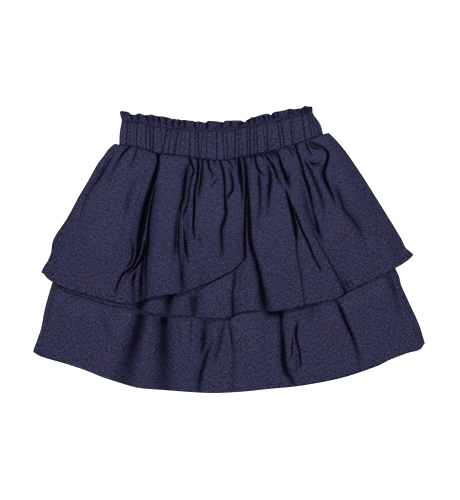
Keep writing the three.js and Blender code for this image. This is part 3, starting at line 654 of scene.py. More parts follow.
def sew(name, x, y, z):
    """Stitches along a line of points on the cloth's upper side, PITCH apart, from 1 in to its end.
    Each is a bar of thread STITCH long, four-sided across, that is highest in its middle and dips
    in at its ends."""
    line = np.stack([x, y, z], -1)
    along = np.concatenate([[0], np.cumsum(np.linalg.norm(np.diff(line, axis=0), axis=1))])
    at = np.arange(1.0, along[-1] - STITCH, PITCH)[:, None] + STITCH * np.array([0, 0.5, 1.0])
    spine = np.stack([np.interp(at, along, line[:, k]) for k in range(3)], -1)
    spine[..., 2] += THREAD * np.array([ENDS_DIP, MIDDLE_RISE, ENDS_DIP])
    run = spine[:, 2] - spine[:, 0]
    sideways = np.stack([-run[:, 1], run[:, 0], 0 * run[:, 0]], -1)
    sideways *= THREAD / 2 / np.linalg.norm(sideways, axis=1)[:, None]
    upright = np.array([0, 0, THREAD / 2]) + 0 * sideways
    corners = np.stack([sideways, upright, -sideways, -upright], 1)
    points = (spine[:, :, None] + corners[:, None]).reshape(-1, 3)
    one = [(0, 1, 2, 3), (11, 10, 9, 8)] + [
        (4 * k + c, 4 * k + 4 + c, 4 * k + 4 + (c + 1) % 4, 4 * k + (c + 1) % 4)
        for k in range(2) for c in range(4)]
    faces = (np.arange(len(at))[:, None, None] * 12 + np.array(one)).reshape(-1, 4)
    mesh = bpy.data.meshes.new(name)
    mesh.from_pydata((points * MM).tolist(), [], faces.tolist())
    mesh.polygons.foreach_set("use_smooth", np.ones(len(faces), bool))
    mesh.materials.append(thread)
    mesh.update()
    stitches = bpy.data.objects.new(name, mesh)
    bpy.context.collection.objects.link(stitches)
    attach(stitches, "root")
    return stitches


def sew_hem(name, panel, surface, first=0.0, last=1.0):
    """Stitches along a panel's hem, HEM above it, from the share first to the share last of its
    width: v = 1 - HEM / length."""
    u = np.linspace(first, last, 2400)
    v = 1 - HEM / panel.length(u)
    x, y = panel.point(u, v)
    return sew(name, x, y, surface(x, y, u, v))


def below_hem(hem, x, y, width, places):
    """The painted shadow in the strip just below another's hem that stands off it: for places
    (first, last, share) along the hem, the sum of share * between(x, first, last), times 1 at the
    hem eased to 0 over the strip's width. It ends 12 above the hem, well under the other cloth."""
    where = sum(share * between(x, first, last) for first, last, share in places)
    return where * ease(1 - (hem(x) - y) / width) * (hem(x) + 12 > y)


def shadow_under_flaps(x, y):
    """The painted shadow on the lower tier, in a strip below the flaps' hem."""
    return below_hem(under_hem, x, y, 16, [
        (50, 64, 0.9), (88, 106, 0.45), (-112, -104, 0.4), (-84, -76, 0.4), (-34, -16, 0.3)])


front_lower = Panel(waist_seam, lower_front_hem, lower_front_left, lower_front_right)


def lower_front_top(x, y, creases=0.0):
    """The lower tier's front: two layers up, and standing in its folds below the flaps."""
    u, v = front_lower.locate(x, y)
    side = roll(np.minimum(u, 1 - u) * front_lower.width(v) + SIDE_REST, SIDE_ROLL)
    full = fullness(v, seam=2.5, crown=3.4, hem=4.6)
    stands = full + crease_heights(x, y, lower_folds) + creases
    return on_back_tier(x, y) + LAYER + CLOTH + uncovered(x, y) * above(side * stands)


def lower_front_surface(x, y, u, v):
    """lower_front_top with its sharper creases, its dents and its hem's puckers."""
    soft = dents(x, y, 30.0, 9.0, 11)
    puckers = hem_puckers(front_lower, u, v, 0.16, 5.0, 13)
    return lower_front_top(x, y, crease_heights(x, y, lower_creases) + soft + puckers)


# the strip below the flaps' hem takes painted shadow
lower_front_cloth = lay_panel(
    "lower_front_cloth", front_lower, 380, steps((0.45, 14), (0.94, 84), (1, 16)),
    lower_front_surface, LOWER_CUT, painted_shadow=shadow_under_flaps)
lower_front_cloth.data.materials.append(navy_chambray)
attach(lower_front_cloth, "root")
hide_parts("lower_front")
lower_front_stitches = sew_hem("lower_front_stitches", front_lower, lower_front_surface)

# ---------------------------------------------------------------------------------------------
# The full-width front flap of the top tier: gathered into the waist seam, lying on the lower
# tier and, past that tier's sides, on the back tier. Its right half and its hem are in sight.
# ---------------------------------------------------------------------------------------------
SIDE_EASE = 18  # over this distance the flaps come down outside the lower tier
SLACK = 0.6  # more air under the loose front flaps
PUFF = 1.6  # radius at which the gathered cloth rises from the waist seam
PUFF_REST = 0.4  # that roll too is begun this far in

under_left = Edge([
    (-33, -229), (-14, -221.5), (2, -217), (17, -210), (38, -198), (62, -187), (87, -172.4),
    (107, -161), (117, -153.6), (127, -146), (131.4, -140)])
under_right = Edge([
    (-6.8, 230.5), (-3.1, 227), (2, 220.8), (12, 215.8), (27, 207), (57, 188.3), (87, 169.5),
    (117, 149.5), (127, 142), (137, 133.3), (145.6, 124.6)])
over_hem = Edge([
    (-232.5, -29), (-224, -37.5), (-207, -46), (-186, -52.8), (-165, -58.6), (-140, -65.3),
    (-126, -67), (-112, -65.6), (-96, -58.8), (-82, -56.9), (-62, -53.8), (-49, -49.8),
    (-21, -38.9), (-5, -30.6), (7, -23.6), (15, -15.5), (18.5, -9)])
over_right = Edge([
    (-9, 18.8), (5, 18.8), (18, 19), (35, 20), (55, 20.8), (75, 21), (90, 20.5), (100, 19.8),
    (114.8, 17.5)])

# The wide folds.
under_folds = [
    # along the top flap's free edge and down to the hem
    [(18, 113, -2.8, 1.4, 1.4), (20.5, 103, -3.2, 1.4, 1.4), (21.5, 90, -2.6, 1.3, 1.4),
     (22, 75, -3.2, 1.4, 1.6), (22.8, 60, -5.0, 2, 2.2), (23.5, 45, -6.4, 3.2, 3),
     (24.5, 30, -6.0, 3, 3), (25, 18, -5.6, 2.6, 3), (27, 6, -4.8, 3, 3.4),
     (30, -5, -4.2, 4, 3.4), (33.5, -15, -4.0, 5, 3), (37, -28, -4.4, 5, 3.2),
     (39.5, -42, -4.4, 5, 5), (42, -56, -6.2, 6, 6), (44, -70, -6.8, 7, 7),
     (45, -82, -6.8, 7, 7)],
    # the next fold, which thins out to a line at the hem
    [(70, 74, -1.5, 1, 1.5), (72.5, 66, -3.4, 1, 1.8), (75, 56, -5.2, 1.3, 3),
     (78, 46, -6.2, 1.6, 4.4), (80, 36, -6.0, 1.7, 4.4), (82, 26, -5.0, 1.8, 3.6),
     (83.5, 14, -2.6, 1.4, 3), (84, 2, -1.8, 1.2, 3), (85, -8, -1.5, 1, 3),
     (87.5, -22, -1.5, 1, 3), (90, -36, -1.5, 1, 3), (92, -50, -1.5, 1, 3),
     (94, -64, -1.2, 1, 3), (95.5, -78, -1.0, 1.2, 3)],
    # the long ridge to the right, and the shade behind it
    [(129, 12, 0.6, 8, 4), (136, 40, 0, 8, 4)],
    [(92, 40, 0, 9, 4), (100, 26, 1.2, 9, 3.6), (112, 4, 1.8, 10, 3.4), (123.5, -16, 1.8, 11, 3.4),
     (133.5, -36, 2.0, 12, 3.4), (140.5, -50, 2.2, 13, 3), (144, -62, 2.4, 13, 2.8)],
    [(104, 24, -0.8, 2, 6), (116, 1, -1.3, 2, 8), (127.5, -19, -1.8, 2, 9),
     (137.5, -37, -1.8, 2, 9), (144.5, -51, -2.2, 2, 9), (147, -62, -2.4, 2, 9)],
    # a wide shade that curves to the right side
    [(133, 76, -2.0, 4, 4), (139, 62, -2.6, 4, 5), (143, 50, -2.8, 4, 12), (151.5, 40, -2.9, 4, 14),
     (160, 28, -2.6, 5, 13), (169, 12, -1.4, 7, 12), (176, -6, 0, 8, 8)],
    # where the top flap's folds go on below its hem
    [(-110, -52, -8, 9, 6), (-111, -84, -8, 9, 6)],
    [(-74, -46, -5.6, 9, 9), (-75, -66, -5.6, 9, 9), (-78, -90, -5.6, 9, 8)],
    [(-42, -40, -3.6, 9, 10), (-42, -60, -3.8, 10, 11), (-43, -74, -3.2, 10, 10),
     (-45, -88, -2.6, 10, 9)],
    [(8, -16, -3.4, 1.8, 6), (6.5, -38, -2.8, 2, 7), (5, -55, -2.2, 2.4, 7),
     (5, -68, -2.8, 2.8, 7), (5.5, -84, -3.4, 3.4, 7)],
    # a ridge near the right side
    [(180, 60, 0, 8, 8), (196, 26, 1.0, 9, 7), (208, -4, 1.0, 9, 7), (214, -20, 0, 9, 7)],
]

# The sharper creases.
under_creases = [
    # gathers, from left to right
    [(31.5, 118, -2.8, 1, 1.2), (33, 109, -2.8, 1, 1.3), (35.5, 101, -3.2, 1.2, 1.4),
     (39, 96, -2.8, 1, 1.2), (42.5, 92, -1.0, 1, 1)],
    [(36.5, 97, -1.2, 1.5, 1.5), (37.5, 85, -2.4, 1.7, 1.7), (38.5, 72, -2.2, 1.7, 1.9),
     (39, 58, -1.8, 1.6, 2.2), (37.5, 40, -1.4, 2.2, 3), (36, 22, 0, 3, 3)],
    [(27, 117, -1.4, 1, 1), (28, 108, -1.0, 1.2, 1.2), (29, 98, 0, 1.2, 1.2)],
    [(47, 112, -0.8, 2, 2), (50, 98, -2.2, 2.2, 2.2), (51.5, 86, -3.0, 2.6, 2.6),
     (50, 75, -3.0, 3, 2.6), (49.5, 63, -2.2, 3, 2.6), (48.5, 50, -1.6, 3, 3), (48, 32, 0, 3, 3)],
    [(44, 120.5, -1.8, 0.9, 1), (49.5, 111, -2.8, 1, 1.5), (54, 104, -3.2, 1, 2),
     (57, 97, -3.2, 1, 2.6), (60.5, 88, -2.4, 1, 2.8), (65, 80, -1.4, 1, 2.4), (69, 70, 0, 1, 2)],
    [(38.5, 119.5, -1.6, 0.8, 0.9), (42.5, 113.5, -1.4, 0.8, 0.9), (44, 109, 0, 0.8, 0.9)],
    [(49.5, 121.5, -1.4, 0.8, 0.9), (54, 114, -1.2, 0.8, 0.9), (57, 108, 0, 0.8, 0.9)],
    [(53.5, 122, -1.6, 0.8, 0.9), (57.5, 116, -1.4, 0.8, 0.9), (60, 110, 0, 0.8, 0.9)],
    [(58.5, 122.5, -2.8, 1, 1.2), (62, 114, -3.2, 1, 1.5), (64.5, 105, -3.8, 1.4, 1.8),
     (68, 96, -4.4, 2, 2.2), (71, 89, -4.2, 2.4, 2.8), (74, 82, -2.8, 3, 4),
     (78, 70, 0, 3, 4)],
    [(77, 101, 0, 1.4, 1.4), (75.5, 94, -1.4, 1.4, 1.4), (72, 87, -1.6, 1.6, 1.6)],
    [(74, 126, -1.4, 0.9, 1), (78, 119, -1.2, 0.9, 1), (81, 112, 0, 0.9, 1)],
    [(78, 127, -1.2, 0.8, 0.9), (81, 121, -1.0, 0.8, 0.9), (83, 115, 0, 0.8, 0.9)],
    [(82.5, 131, -2.8, 1, 1.2), (84.5, 121, -3.4, 1, 1.3), (88.5, 110, -3.2, 1, 1.4),
     (91, 100, -3.6, 1.3, 1.6), (93.5, 90, -3.8, 1.6, 2), (97, 80, -3.8, 1.9, 2.3),
     (100.5, 68, -3.2, 2.4, 2.5), (102.5, 58, -2.6, 2.6, 2.8), (104.5, 46, -2.2, 2.8, 2.6),
     (107.5, 36, -2.2, 3, 2.4), (110.5, 26, -2.0, 3, 2.6), (114, 16, -1.2, 3, 3),
     (119, 2, 0, 3, 3)],
    # the shade along the longest gather, and a thin line left of it
    [(89, 92, -0.6, 3, 4), (94, 68, -2.0, 4, 5), (97, 52, -2.8, 5, 5), (102, 38, -2.6, 5, 5),
     (110, 22, -1.4, 5, 4), (116, 6, 0, 5, 4)],
    [(83, 43, -2.6, 1.2, 1.2), (88, 29, -3.4, 1.1, 1.3), (93, 18, -3.2, 1, 1.2),
     (97.5, 9, -3.0, 1, 1.2), (102, -2, -3.0, 1, 1.2), (107, -13, -2.0, 1, 1.2),
     (112, -22, -2.0, 1, 1.1), (117, -31, 0, 1, 1)],
    # the last gather, and the hook below the waistband's right end
    [(92, 115, 0, 1.4, 1.5), (97, 105, -2.2, 1.4, 1.7), (101, 98, -2.4, 1.8, 2),
     (105, 89, -2.4, 2, 2.4), (108.5, 80, -2.4, 2, 2.4), (112.5, 70, -2.4, 2.2, 2.6),
     (116, 58, -2.2, 2.5, 3), (118, 44, -1.4, 3, 3), (120, 28, 0, 3, 3)],
    [(115, 128, -1.6, 1.4, 1.4), (121, 122.5, -3.0, 1.5, 1.5), (123.5, 116, -3.4, 1.5, 1.3),
     (121.5, 109, -3.4, 2.4, 1.6), (119, 101, -3.4, 3.4, 2), (117.5, 93, -3.8, 3.6, 2.4),
     (120, 85, -3.6, 3, 2.6), (124, 76, -3.4, 2.4, 2.6), (127.5, 68, -2.8, 1.6, 2.6),
     (130, 62, -2.0, 1.5, 2.4), (135, 50, 0, 2, 3)],
    # the tuck between those
    [(96, 133, -1.4, 1, 1), (97.5, 126, -1.8, 1, 1.2), (101, 119, -1.4, 1, 1.2),
     (105, 113, 0, 1, 1.2)],
    [(100, 134.5, -1.4, 0.9, 0.9), (102.5, 128, -2.0, 0.9, 0.9), (106.5, 125.5, -2.2, 0.9, 0.9),
     (111.5, 125.5, -2.2, 0.9, 0.9), (115.5, 128.5, -1.6, 0.9, 0.9)],
    [(102.5, 134, 1.4, 1, 1), (109, 130.5, 2.0, 1, 1), (115, 127, 1.6, 1, 1)],
    [(104, 131.5, -2.0, 0.9, 0.8), (110, 128.5, -2.2, 0.9, 0.8), (114, 126.5, -1.0, 0.8, 0.8)],
    [(99, 110, 0, 1.8, 1.4), (103, 107, -2.4, 2.4, 1.4), (109, 105.5, -2.8, 2.6, 1.4),
     (115, 108, -2.2, 2.2, 1.4), (119, 113, 0, 1.5, 1.3)],
    # nicks, and short puckers above the hem
    [(142, 20, 0, 0.9, 1), (145, 15, -0.9, 0.9, 1), (149, 9, 0, 0.9, 1)],
    [(182, -2, 0, 0.9, 1), (186, -9, -0.9, 0.9, 1), (189, -14, 0, 0.9, 1)],
    [(-46, -48, -0.9, 1.4, 1.4), (-46, -66, -1.0, 1.4, 1.4), (-44, -84, -1.2, 1.4, 1.4)],
    [(13, -30, -0.8, 2, 2), (12, -50, -0.8, 2, 2), (11, -66, 0, 2, 2)],
    [(142, -34, 0, 1, 1), (146, -42, -1.4, 1, 1), (151, -49, -1.0, 1, 1)],
    [(147, -32, 0, 1, 1), (151, -40, -1.2, 1, 1), (156, -47, -0.8, 1, 1)],
    [(164, -32, 0, 1, 1), (167, -38, -1.0, 1, 1), (169, -43, -0.8, 1, 1)],
]


def past_flap(x, y):
    """0 under the flap on top and 1 past it: 1 - (1 - a) (1 - b), with a the share at a distance
    past its free edge and b that at a distance past its hem, which is lifted in one place."""
    past_edge = freed(x - over_right(y) + 0.5, 3, 7)
    past_lower = past_hem(over_hem(x) - y, between(x, -116, -35), 22, 8)
    return 1 - (1 - past_edge) * (1 - past_lower)


def shadow_under_top_flap(x, y):
    """The painted shadow on this flap, in a strip below the hem of the one on top."""
    return below_hem(over_hem, x, y, 14, [(-78, -70, 0.8), (-56, -36, 0.3), (-113, -106, 0.8)])


front_under = Panel(waist_seam, under_hem, under_left, under_right)


def flap_under_top(x, y, creases=0.0):
    """The flap below: it lies on the lower tier and, past that tier's sides, on the back tier,
    and it stands in its folds where the flap on top doesn't cover it."""
    u, v = front_under.locate(x, y)
    inside = (ease((x - lower_left(y) + SIDE_EASE) / SIDE_EASE)
              * ease((lower_right(y) - x + SIDE_EASE) / SIDE_EASE))
    bed = mix(LAYER, lower_front_top(x, y) + GAP + SLACK, inside)
    side = roll(np.minimum(u, 1 - u) * front_under.width(v) + SIDE_REST, SIDE_ROLL)
    puff = roll(v * front_under.length(u) + PUFF_REST, PUFF)
    full = fullness(v, seam=4.2, crown=5.2, hem=4.6)
    stands = full + crease_heights(x, y, under_folds) + creases
    return bed + CLOTH + past_flap(x, y) * above(side * puff * stands)


def flap_under_surface(x, y, u, v):
    """flap_under_top with its sharper creases, its dents and its hem's puckers."""
    soft = dents(x, y, 28.0, 8.0, 21)
    puckers = hem_puckers(front_under, u, v, 0.22, 4.6, 23)
    return flap_under_top(x, y, crease_heights(x, y, under_creases) + soft + puckers)


# the strip below the top flap's hem takes painted shadow
flap_under_cloth = lay_panel(
    "flap_under_cloth", front_under, 400, steps((0.08, 14), (0.92, 94), (1, 14)),
    flap_under_surface, TIER_CUT, painted_shadow=shadow_under_top_flap)
flap_under_cloth.data.materials.append(navy_chambray)
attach(flap_under_cloth, "root")
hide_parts("flap_under")
flap_under_stitches = sew_hem("flap_under_stitches", front_under, flap_under_surface, 0.2)

# ---------------------------------------------------------------------------------------------
# The front flap that laps over from the left: gathered into the same seam, with a hemmed free
# edge down its right side, a rounded corner, and one deep fold that runs out at its hem.
# ---------------------------------------------------------------------------------------------
OVER_EDGE = 4  # from its free edge the flap is at full height this far in
EDGE_REST = 0.5  # the share of that height that it has at the edge itself

over_left = Edge([
    (-29, -232.5), (-14, -223.2), (2, -219.5), (17, -212.5), (38, -200.2), (62, -189.5),
    (87, -174.8), (107, -163.6), (117, -156.1), (127, -148.6), (132, -142)])
over_creases = [
    # the deep fold, the shade beyond it, and the pit it starts in
    [(-88, 121, -3.4, 1.4, 1.6), (-87.8, 112, -4.2, 1.5, 1.6), (-88.5, 104, -5.2, 1.9, 1.8),
     (-92, 90, -6.2, 2.8, 2.6), (-96, 76, -6.8, 3.2, 3.4), (-101, 60, -7, 4, 3.6),
     (-104, 46, -8, 4.6, 3.8), (-107, 30, -8, 4.8, 3.6), (-110, 15, -7.2, 4.6, 3.4),
     (-112, 0, -5.2, 3.4, 3), (-116, -14, -4.2, 2.4, 2.6), (-121, -22, -3.4, 1.8, 2.4),
     (-130, -29, -2.8, 1.4, 2), (-135, -36, -2.4, 1.3, 1.8), (-139, -46, -2.0, 1.3, 1.8),
     (-142, -56, -0.8, 1.5, 2)],
    [(-104, 10, -1.6, 1.4, 2), (-105, -2, -4.2, 1.6, 2.4), (-108, -11, -4.6, 1.6, 2.4),
     (-114, -20, -4.0, 1.5, 2), (-120, -27, -2.2, 1.4, 1.8), (-126, -34, 0, 1.4, 1.8)],
    [(-88, 88, 0, 1, 5), (-93, 72, -2.8, 1, 7), (-97, 52, -4.2, 1, 7), (-99.5, 34, -4.4, 1, 7),
     (-101, 14, -4.4, 1, 7), (-102.5, -4, -3.6, 1, 6.5), (-104, -22, -3.0, 2, 6),
     (-104, -42, -2.6, 3, 6), (-105, -64, -2.4, 3, 6)],
    [(-120, 16, 0, 2, 2), (-118.5, 2, -2.4, 2, 2), (-120, -12, -2.6, 1.8, 2), (-126, -22, -1.6, 2, 2),
     (-131, -27, 0, 2, 2)],
    [(-114, -20, 0, 3, 3), (-117, -31, -3.4, 3.4, 3.6), (-119, -42, -3.2, 3.8, 3.8),
     (-118, -54, -2.4, 4, 4), (-117, -66, -2.4, 4, 4)],
    [(-55, 62, 0, 5, 6), (-54, 44, -2.0, 5, 7), (-52, 14, -2.4, 5, 8), (-57, -16, -2.0, 9, 10),
     (-58, -36, -2.2, 10, 11), (-56, -58, -2.6, 10, 12)],
    [(-33, -30, -0.6, 5, 7), (-32, -48, -2.0, 5, 7)],
    [(-88.5, 126, -2.6, 3, 3), (-88.5, 119, -3.0, 3, 3), (-88.5, 111, 0, 2, 2)],
    [(-100, 112, 0.8, 12, 4), (-109, 84, 1.6, 13, 4), (-118, 50, 2.2, 14, 5),
     (-126, 10, 2.2, 14, 5), (-131, -12, 0.8, 14, 6), (-138, -30, 0, 12, 6)],
    [(-102, 8, -2.0, 4, 4), (-106, -12, -3.6, 4, 4), (-108.5, -30, -4.4, 6, 4.6),
     (-109.5, -50, -5.0, 7, 4.6), (-110, -68, -5.0, 7, 4.6)],
    [(-107, 2, 0.4, 1.5, 1.5), (-116, -18, 1.6, 1.5, 1.5), (-123, -28, 1.6, 1.5, 1.5),
     (-130, -38, 1.2, 1.6, 1.6), (-135, -48, 0, 1.6, 1.6)],
    # the left side's creases
    [(-123, 128, -2.0, 1.2, 1.3), (-130, 121, -2.2, 1.2, 1.7), (-137, 110, -1.7, 1.6, 2.2),
     (-142, 100, -1.4, 2, 2.5), (-148, 88, -0.9, 2.5, 3), (-154, 76, 0, 3, 3)],
    [(-113, 128, -1.2, 1.1, 1.4), (-116.5, 117, -1.4, 1.4, 2), (-119.5, 108, -1.5, 2.2, 2.4),
     (-123, 101, -1.2, 3.4, 3), (-131, 94, 0, 4, 4)],
    [(-112, 127.5, -1.4, 1, 1.2), (-108, 121.5, -1.2, 1, 1.2), (-106, 116, 0, 1, 1)],
    [(-111, 96, 0, 5, 4), (-119, 82, -1.4, 5, 4), (-124, 66, -2.0, 5, 4), (-128, 50, -2.0, 5, 4),
     (-134, 32, 0, 5, 5)],
    [(-145, 117, -2.0, 6, 3), (-155, 100, -3.6, 6, 3.5), (-163, 87, -3.8, 7, 4.4),
     (-174, 73, -3.2, 8, 6), (-181, 58, -2.4, 8, 5), (-186, 38, -1.4, 8, 5), (-192, 16, 0, 8, 6)],
    [(-150, 30, 1.2, 22, 18), (-160, -10, 1.4, 24, 20), (-166, -40, 0.4, 24, 20)],
    [(-90, -10, 0, 12, 14), (-88, -40, 1.6, 13, 15), (-88, -60, 2.6, 14, 16)],
    # the second pleat's shaded side, with a thin ridge in it
    [(-47, 111, -1.6, 3, 4), (-52.5, 97, -3.2, 3.6, 5), (-55, 80, -3.8, 3.6, 5),
     (-57, 62, -3.4, 3.4, 4), (-62.5, 45, -2.6, 2.8, 3), (-65.5, 28, -2.0, 2.4, 2.4),
     (-67.5, 5, -1.8, 2.4, 2.2), (-68, -10, -1.2, 3, 2.4), (-68, -26, 0, 3, 3)],
    [(-60, 62, 0, 1.2, 1.2), (-62, 45, 1.5, 1.2, 1.2), (-63.5, 28, 1.8, 1.2, 1.2),
     (-65, 5, 1.8, 1.2, 1.2), (-65.5, -10, 0, 1.2, 1.2)],
    [(-60.5, 54, -1.2, 1.2, 2), (-61.2, 35, -2.2, 1.2, 3.4), (-62.2, 15, -2.4, 1.2, 4),
     (-62, -2, -2.2, 1.3, 4.4), (-60, -16, -1.2, 2, 5), (-58, -46, -0.8, 5, 6)],
    [(-56, 36, 0, 1.4, 1.8), (-55, 20, -2.2, 1.6, 2.2), (-54, 4, -2.2, 1.6, 2.2),
     (-52, -12, -1.4, 1.4, 2), (-51, -24, 0, 1.2, 1.6)],
    # gathers, from left to right
    [(-49.5, 114, -2.8, 1.2, 1.3), (-46, 104, -3.0, 1.2, 1.3), (-43.6, 97.5, -3.0, 1.3, 1),
     (-46.5, 89, -2.2, 1.2, 1.2), (-49.5, 74, -2.2, 1.2, 1.2), (-51.5, 57, -1.9, 1.2, 1.2),
     (-55.5, 45, -1.8, 1.2, 1.2), (-58, 30, 0, 1.2, 1.2)],
    [(-38.5, 114, -3.2, 1, 1.3), (-38.3, 100, -3.8, 1, 1.4), (-39.5, 87, -3.8, 1, 1.4),
     (-42.5, 72, -3.4, 1, 1.6), (-43, 58, -4.0, 1.2, 1.5), (-43.5, 42, -3.8, 1.1, 1.4),
     (-44.5, 32, -3.0, 1, 1.6), (-43.8, 20, -2.0, 1.2, 1.8), (-43, 6, 0, 1.2, 2)],
    [(-33, 113.5, -1.8, 1.1, 1.6), (-33.2, 102, -2.2, 1.5, 2.4), (-34.5, 88, -2.8, 1.8, 3.2),
     (-36.5, 74, -2.4, 2, 3.2), (-38, 60, -0.8, 2, 3)],
    [(-27, 113, -2.8, 1, 1.2), (-25.5, 107, -3.0, 1.1, 1.4), (-24.5, 101, -2.4, 1.2, 1.5),
     (-21, 95, -2.0, 1.4, 1.5), (-20.5, 90, -1.2, 1.4, 1.5), (-23, 84, 0, 1.4, 1.5)],
    [(-19, 112.5, -2.0, 0.9, 1.1), (-18, 108, -1.6, 0.9, 1.1), (-17.5, 103, 0, 0.9, 1)],
    [(-13, 90, 0, 0.9, 1), (-15, 87, -1.1, 0.9, 1), (-19.5, 81, -1.2, 0.9, 1), (-25, 76, 0, 1, 1)],
    [(-12, 112.5, -2.2, 1, 1.1), (-9.5, 104, -3.4, 1, 1.2), (-7, 96, -3.8, 1, 1.3),
     (-6, 86, -3.6, 1, 1.3), (-5.3, 76, -3.0, 1, 1.3), (-5.2, 66, -2.8, 1, 1.6),
     (-4.7, 56, -3.4, 1.1, 1.9), (-3.8, 46, -2.8, 2, 2.4), (-5.5, 36, -2.8, 2.5, 2.6),
     (-9, 26, -2.8, 3, 3), (-9, 12, -2.4, 3, 3.5), (-8, -2, -2.0, 3, 3.5), (-10, -18, 0, 4, 4)],
    [(-2, 112, -1.8, 0.9, 1.1), (2, 106, -1.6, 0.9, 1.1), (5, 101, -1.0, 1, 1.2), (7, 95, 0, 1, 1)],
    [(0, 104, -0.6, 2, 1.5), (2.5, 93, -2.0, 2, 1.5), (4.7, 83, -2.6, 2, 1.5),
     (4.5, 75, -2.6, 2, 1.7), (1.5, 69, -2.2, 2, 2), (-2, 64.5, -1.8, 1.5, 2), (-4, 59, 0, 1.5, 2)],
    [(6.5, 114, -1.8, 0.9, 1), (8, 107, -1.4, 0.9, 1), (9.5, 100, 0, 0.9, 1)],
    [(11.5, 115, -3.8, 1.4, 1.6), (12.8, 106, -5.4, 2, 2), (14, 96, -6.2, 2.4, 2.2),
     (15, 86, -5.8, 2.2, 2), (16, 76, -3.4, 1.2, 1.4), (16.8, 66, -1.8, 1, 1.2),
     (17, 52, 0, 1, 1.2)],
    [(-37, 22, 0, 1.2, 1.4), (-36, 12, -1.2, 1.2, 1.4), (-35.5, 2, 0, 1.2, 1.4)],
]

front_over = Panel(waist_seam, over_hem, over_left, over_right)


def flap_over_surface(x, y, u, v):
    """The flap on top: it lies on the flap below, and stands up from it in its folds, with its
    dents and its hem's puckers."""
    left, right = u * front_over.width(v), (1 - u) * front_over.width(v)
    side = roll(left + SIDE_REST, SIDE_ROLL) * mix(EDGE_REST, 1, roll(right, OVER_EDGE))
    puff = roll(v * front_over.length(u) + PUFF_REST, PUFF)
    full = fullness(v, seam=4.6, crown=6.0, hem=4.2)
    stands = full + crease_heights(x, y, over_creases)
    soft = dents(x, y, 28.0, 8.0, 31)
    puckers = hem_puckers(front_over, u, v, 0.18, 5.0, 33)
    return flap_under_top(x, y) + GAP + CLOTH + above(side * puff * (stands + soft + puckers))


OVER_CUT = (0.275, 0.20)  # its hem and its length; the top edge is 0.185 wide before gathering
flap_over_cloth = lay_panel(
    "flap_over_cloth", front_over, 340, steps((0.08, 14), (0.92, 100), (1, 14)),
    flap_over_surface, OVER_CUT)
flap_over_cloth.data.materials.append(navy_chambray)
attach(flap_over_cloth, "root")
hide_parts("flap_over")
flap_over_stitches = sew_hem("flap_over_stitches", front_over, flap_over_surface, last=0.975)
edge_v = np.linspace(0.03, 0.955, 1200)  # down the free edge, from the waist seam to the hem's stitches
edge_u = 1 - HEM / front_over.width(edge_v)
edge_x, edge_y = front_over.point(edge_u, edge_v)
flap_edge_stitches = sew(
    "flap_edge_stitches", edge_x, edge_y, flap_over_surface(edge_x, edge_y, edge_u, edge_v))

# ---------------------------------------------------------------------------------------------
# The waistband: one doubled strip of chambray round wide elastic, stitched above it so that the
# fold-over stands up as a frill. The elastic draws it into upright gathers.
# ---------------------------------------------------------------------------------------------
BAND = 2.5  # elastic and casing together, between two gathers
BAND_RIB = 1.9  # how far the cloth stands up between two gathers
BAND_ROLL, ROLL_REST = 6, 0.6  # radius of the band's folded ends, begun this far in
BAND_LIP, LIP_REST = 0.9, 0.3  # the same where its lower edge turns in to the waist seam
LIP_LOW = 0.3  # the share of its height that the lower edge keeps
BAND_CUT = (0.30, 0.046)  # the cut of one side of half the band: the fold-over doubles it
CASING_CUT, HEADING_CUT = 0.035, 0.011  # how much of that is casing, and how much is frill
GATHER = 0.75  # a gather's width in the casing, for each unit in the table below
HEADING = 1.2  # the frill's doubled cloth
HEADING_ROOT = 1.5  # how much thicker that is at the stitches
FRILL_WAVE = 5.0  # height of the front frill's waves at its top edge
BACK_WAVE, BACK_RIB = 0.3 * FRILL_WAVE, 0.4 * BAND_RIB  # the back half, pressed under the front
PINCH, PINCH_REACH = 0.35, 0.09  # what the stitches leave of the casing's height, and how far up

stitch_line = Edge([
    (-134, 161.4), (-120, 159), (-99, 156.4), (-86, 153), (-76, 150.8), (-60, 149.9), (-31, 147.9),
    (-10, 149), (10, 149.6), (24, 153.4), (42, 157), (60, 160.2), (74, 163.8), (90, 167.8),
    (105, 169.8)])
frill_top = Edge([
    (-136.5, 171), (-134, 172.6), (-130, 172.2), (-125, 171.2), (-121.5, 168.6), (-117, 167.8),
    (-112, 169.6), (-105, 167.6), (-98, 168), (-95.5, 168.2), (-92, 166.8), (-80, 165.4),
    (-75, 164.2), (-71, 162.8), (-67.5, 163.1), (-65.5, 162), (-63, 162.4), (-60, 161.4),
    (-55, 161.6), (-51, 160.8), (-45, 160.2), (-42, 159.4), (-37, 159.6), (-31, 158.2),
    (-28.5, 158.2), (-26.8, 160.3), (-20, 160), (-14, 159.6), (-9, 158.7), (-7, 159), (-5, 160.4),
    (0, 160.6), (10, 160.8), (16, 160.4), (19, 158.8), (21, 160.4), (25, 163), (28, 164.8),
    (31, 165), (36, 166.4), (42, 168.4), (49, 169.2), (52, 167.7), (54, 170), (57, 171.4),
    (63, 172.4), (70, 173.8), (76, 175.6), (79.5, 174.7), (85, 175.4), (90, 176), (93, 178.4),
    (94.5, 179), (99, 178), (102, 178.4), (104.4, 177.4)])
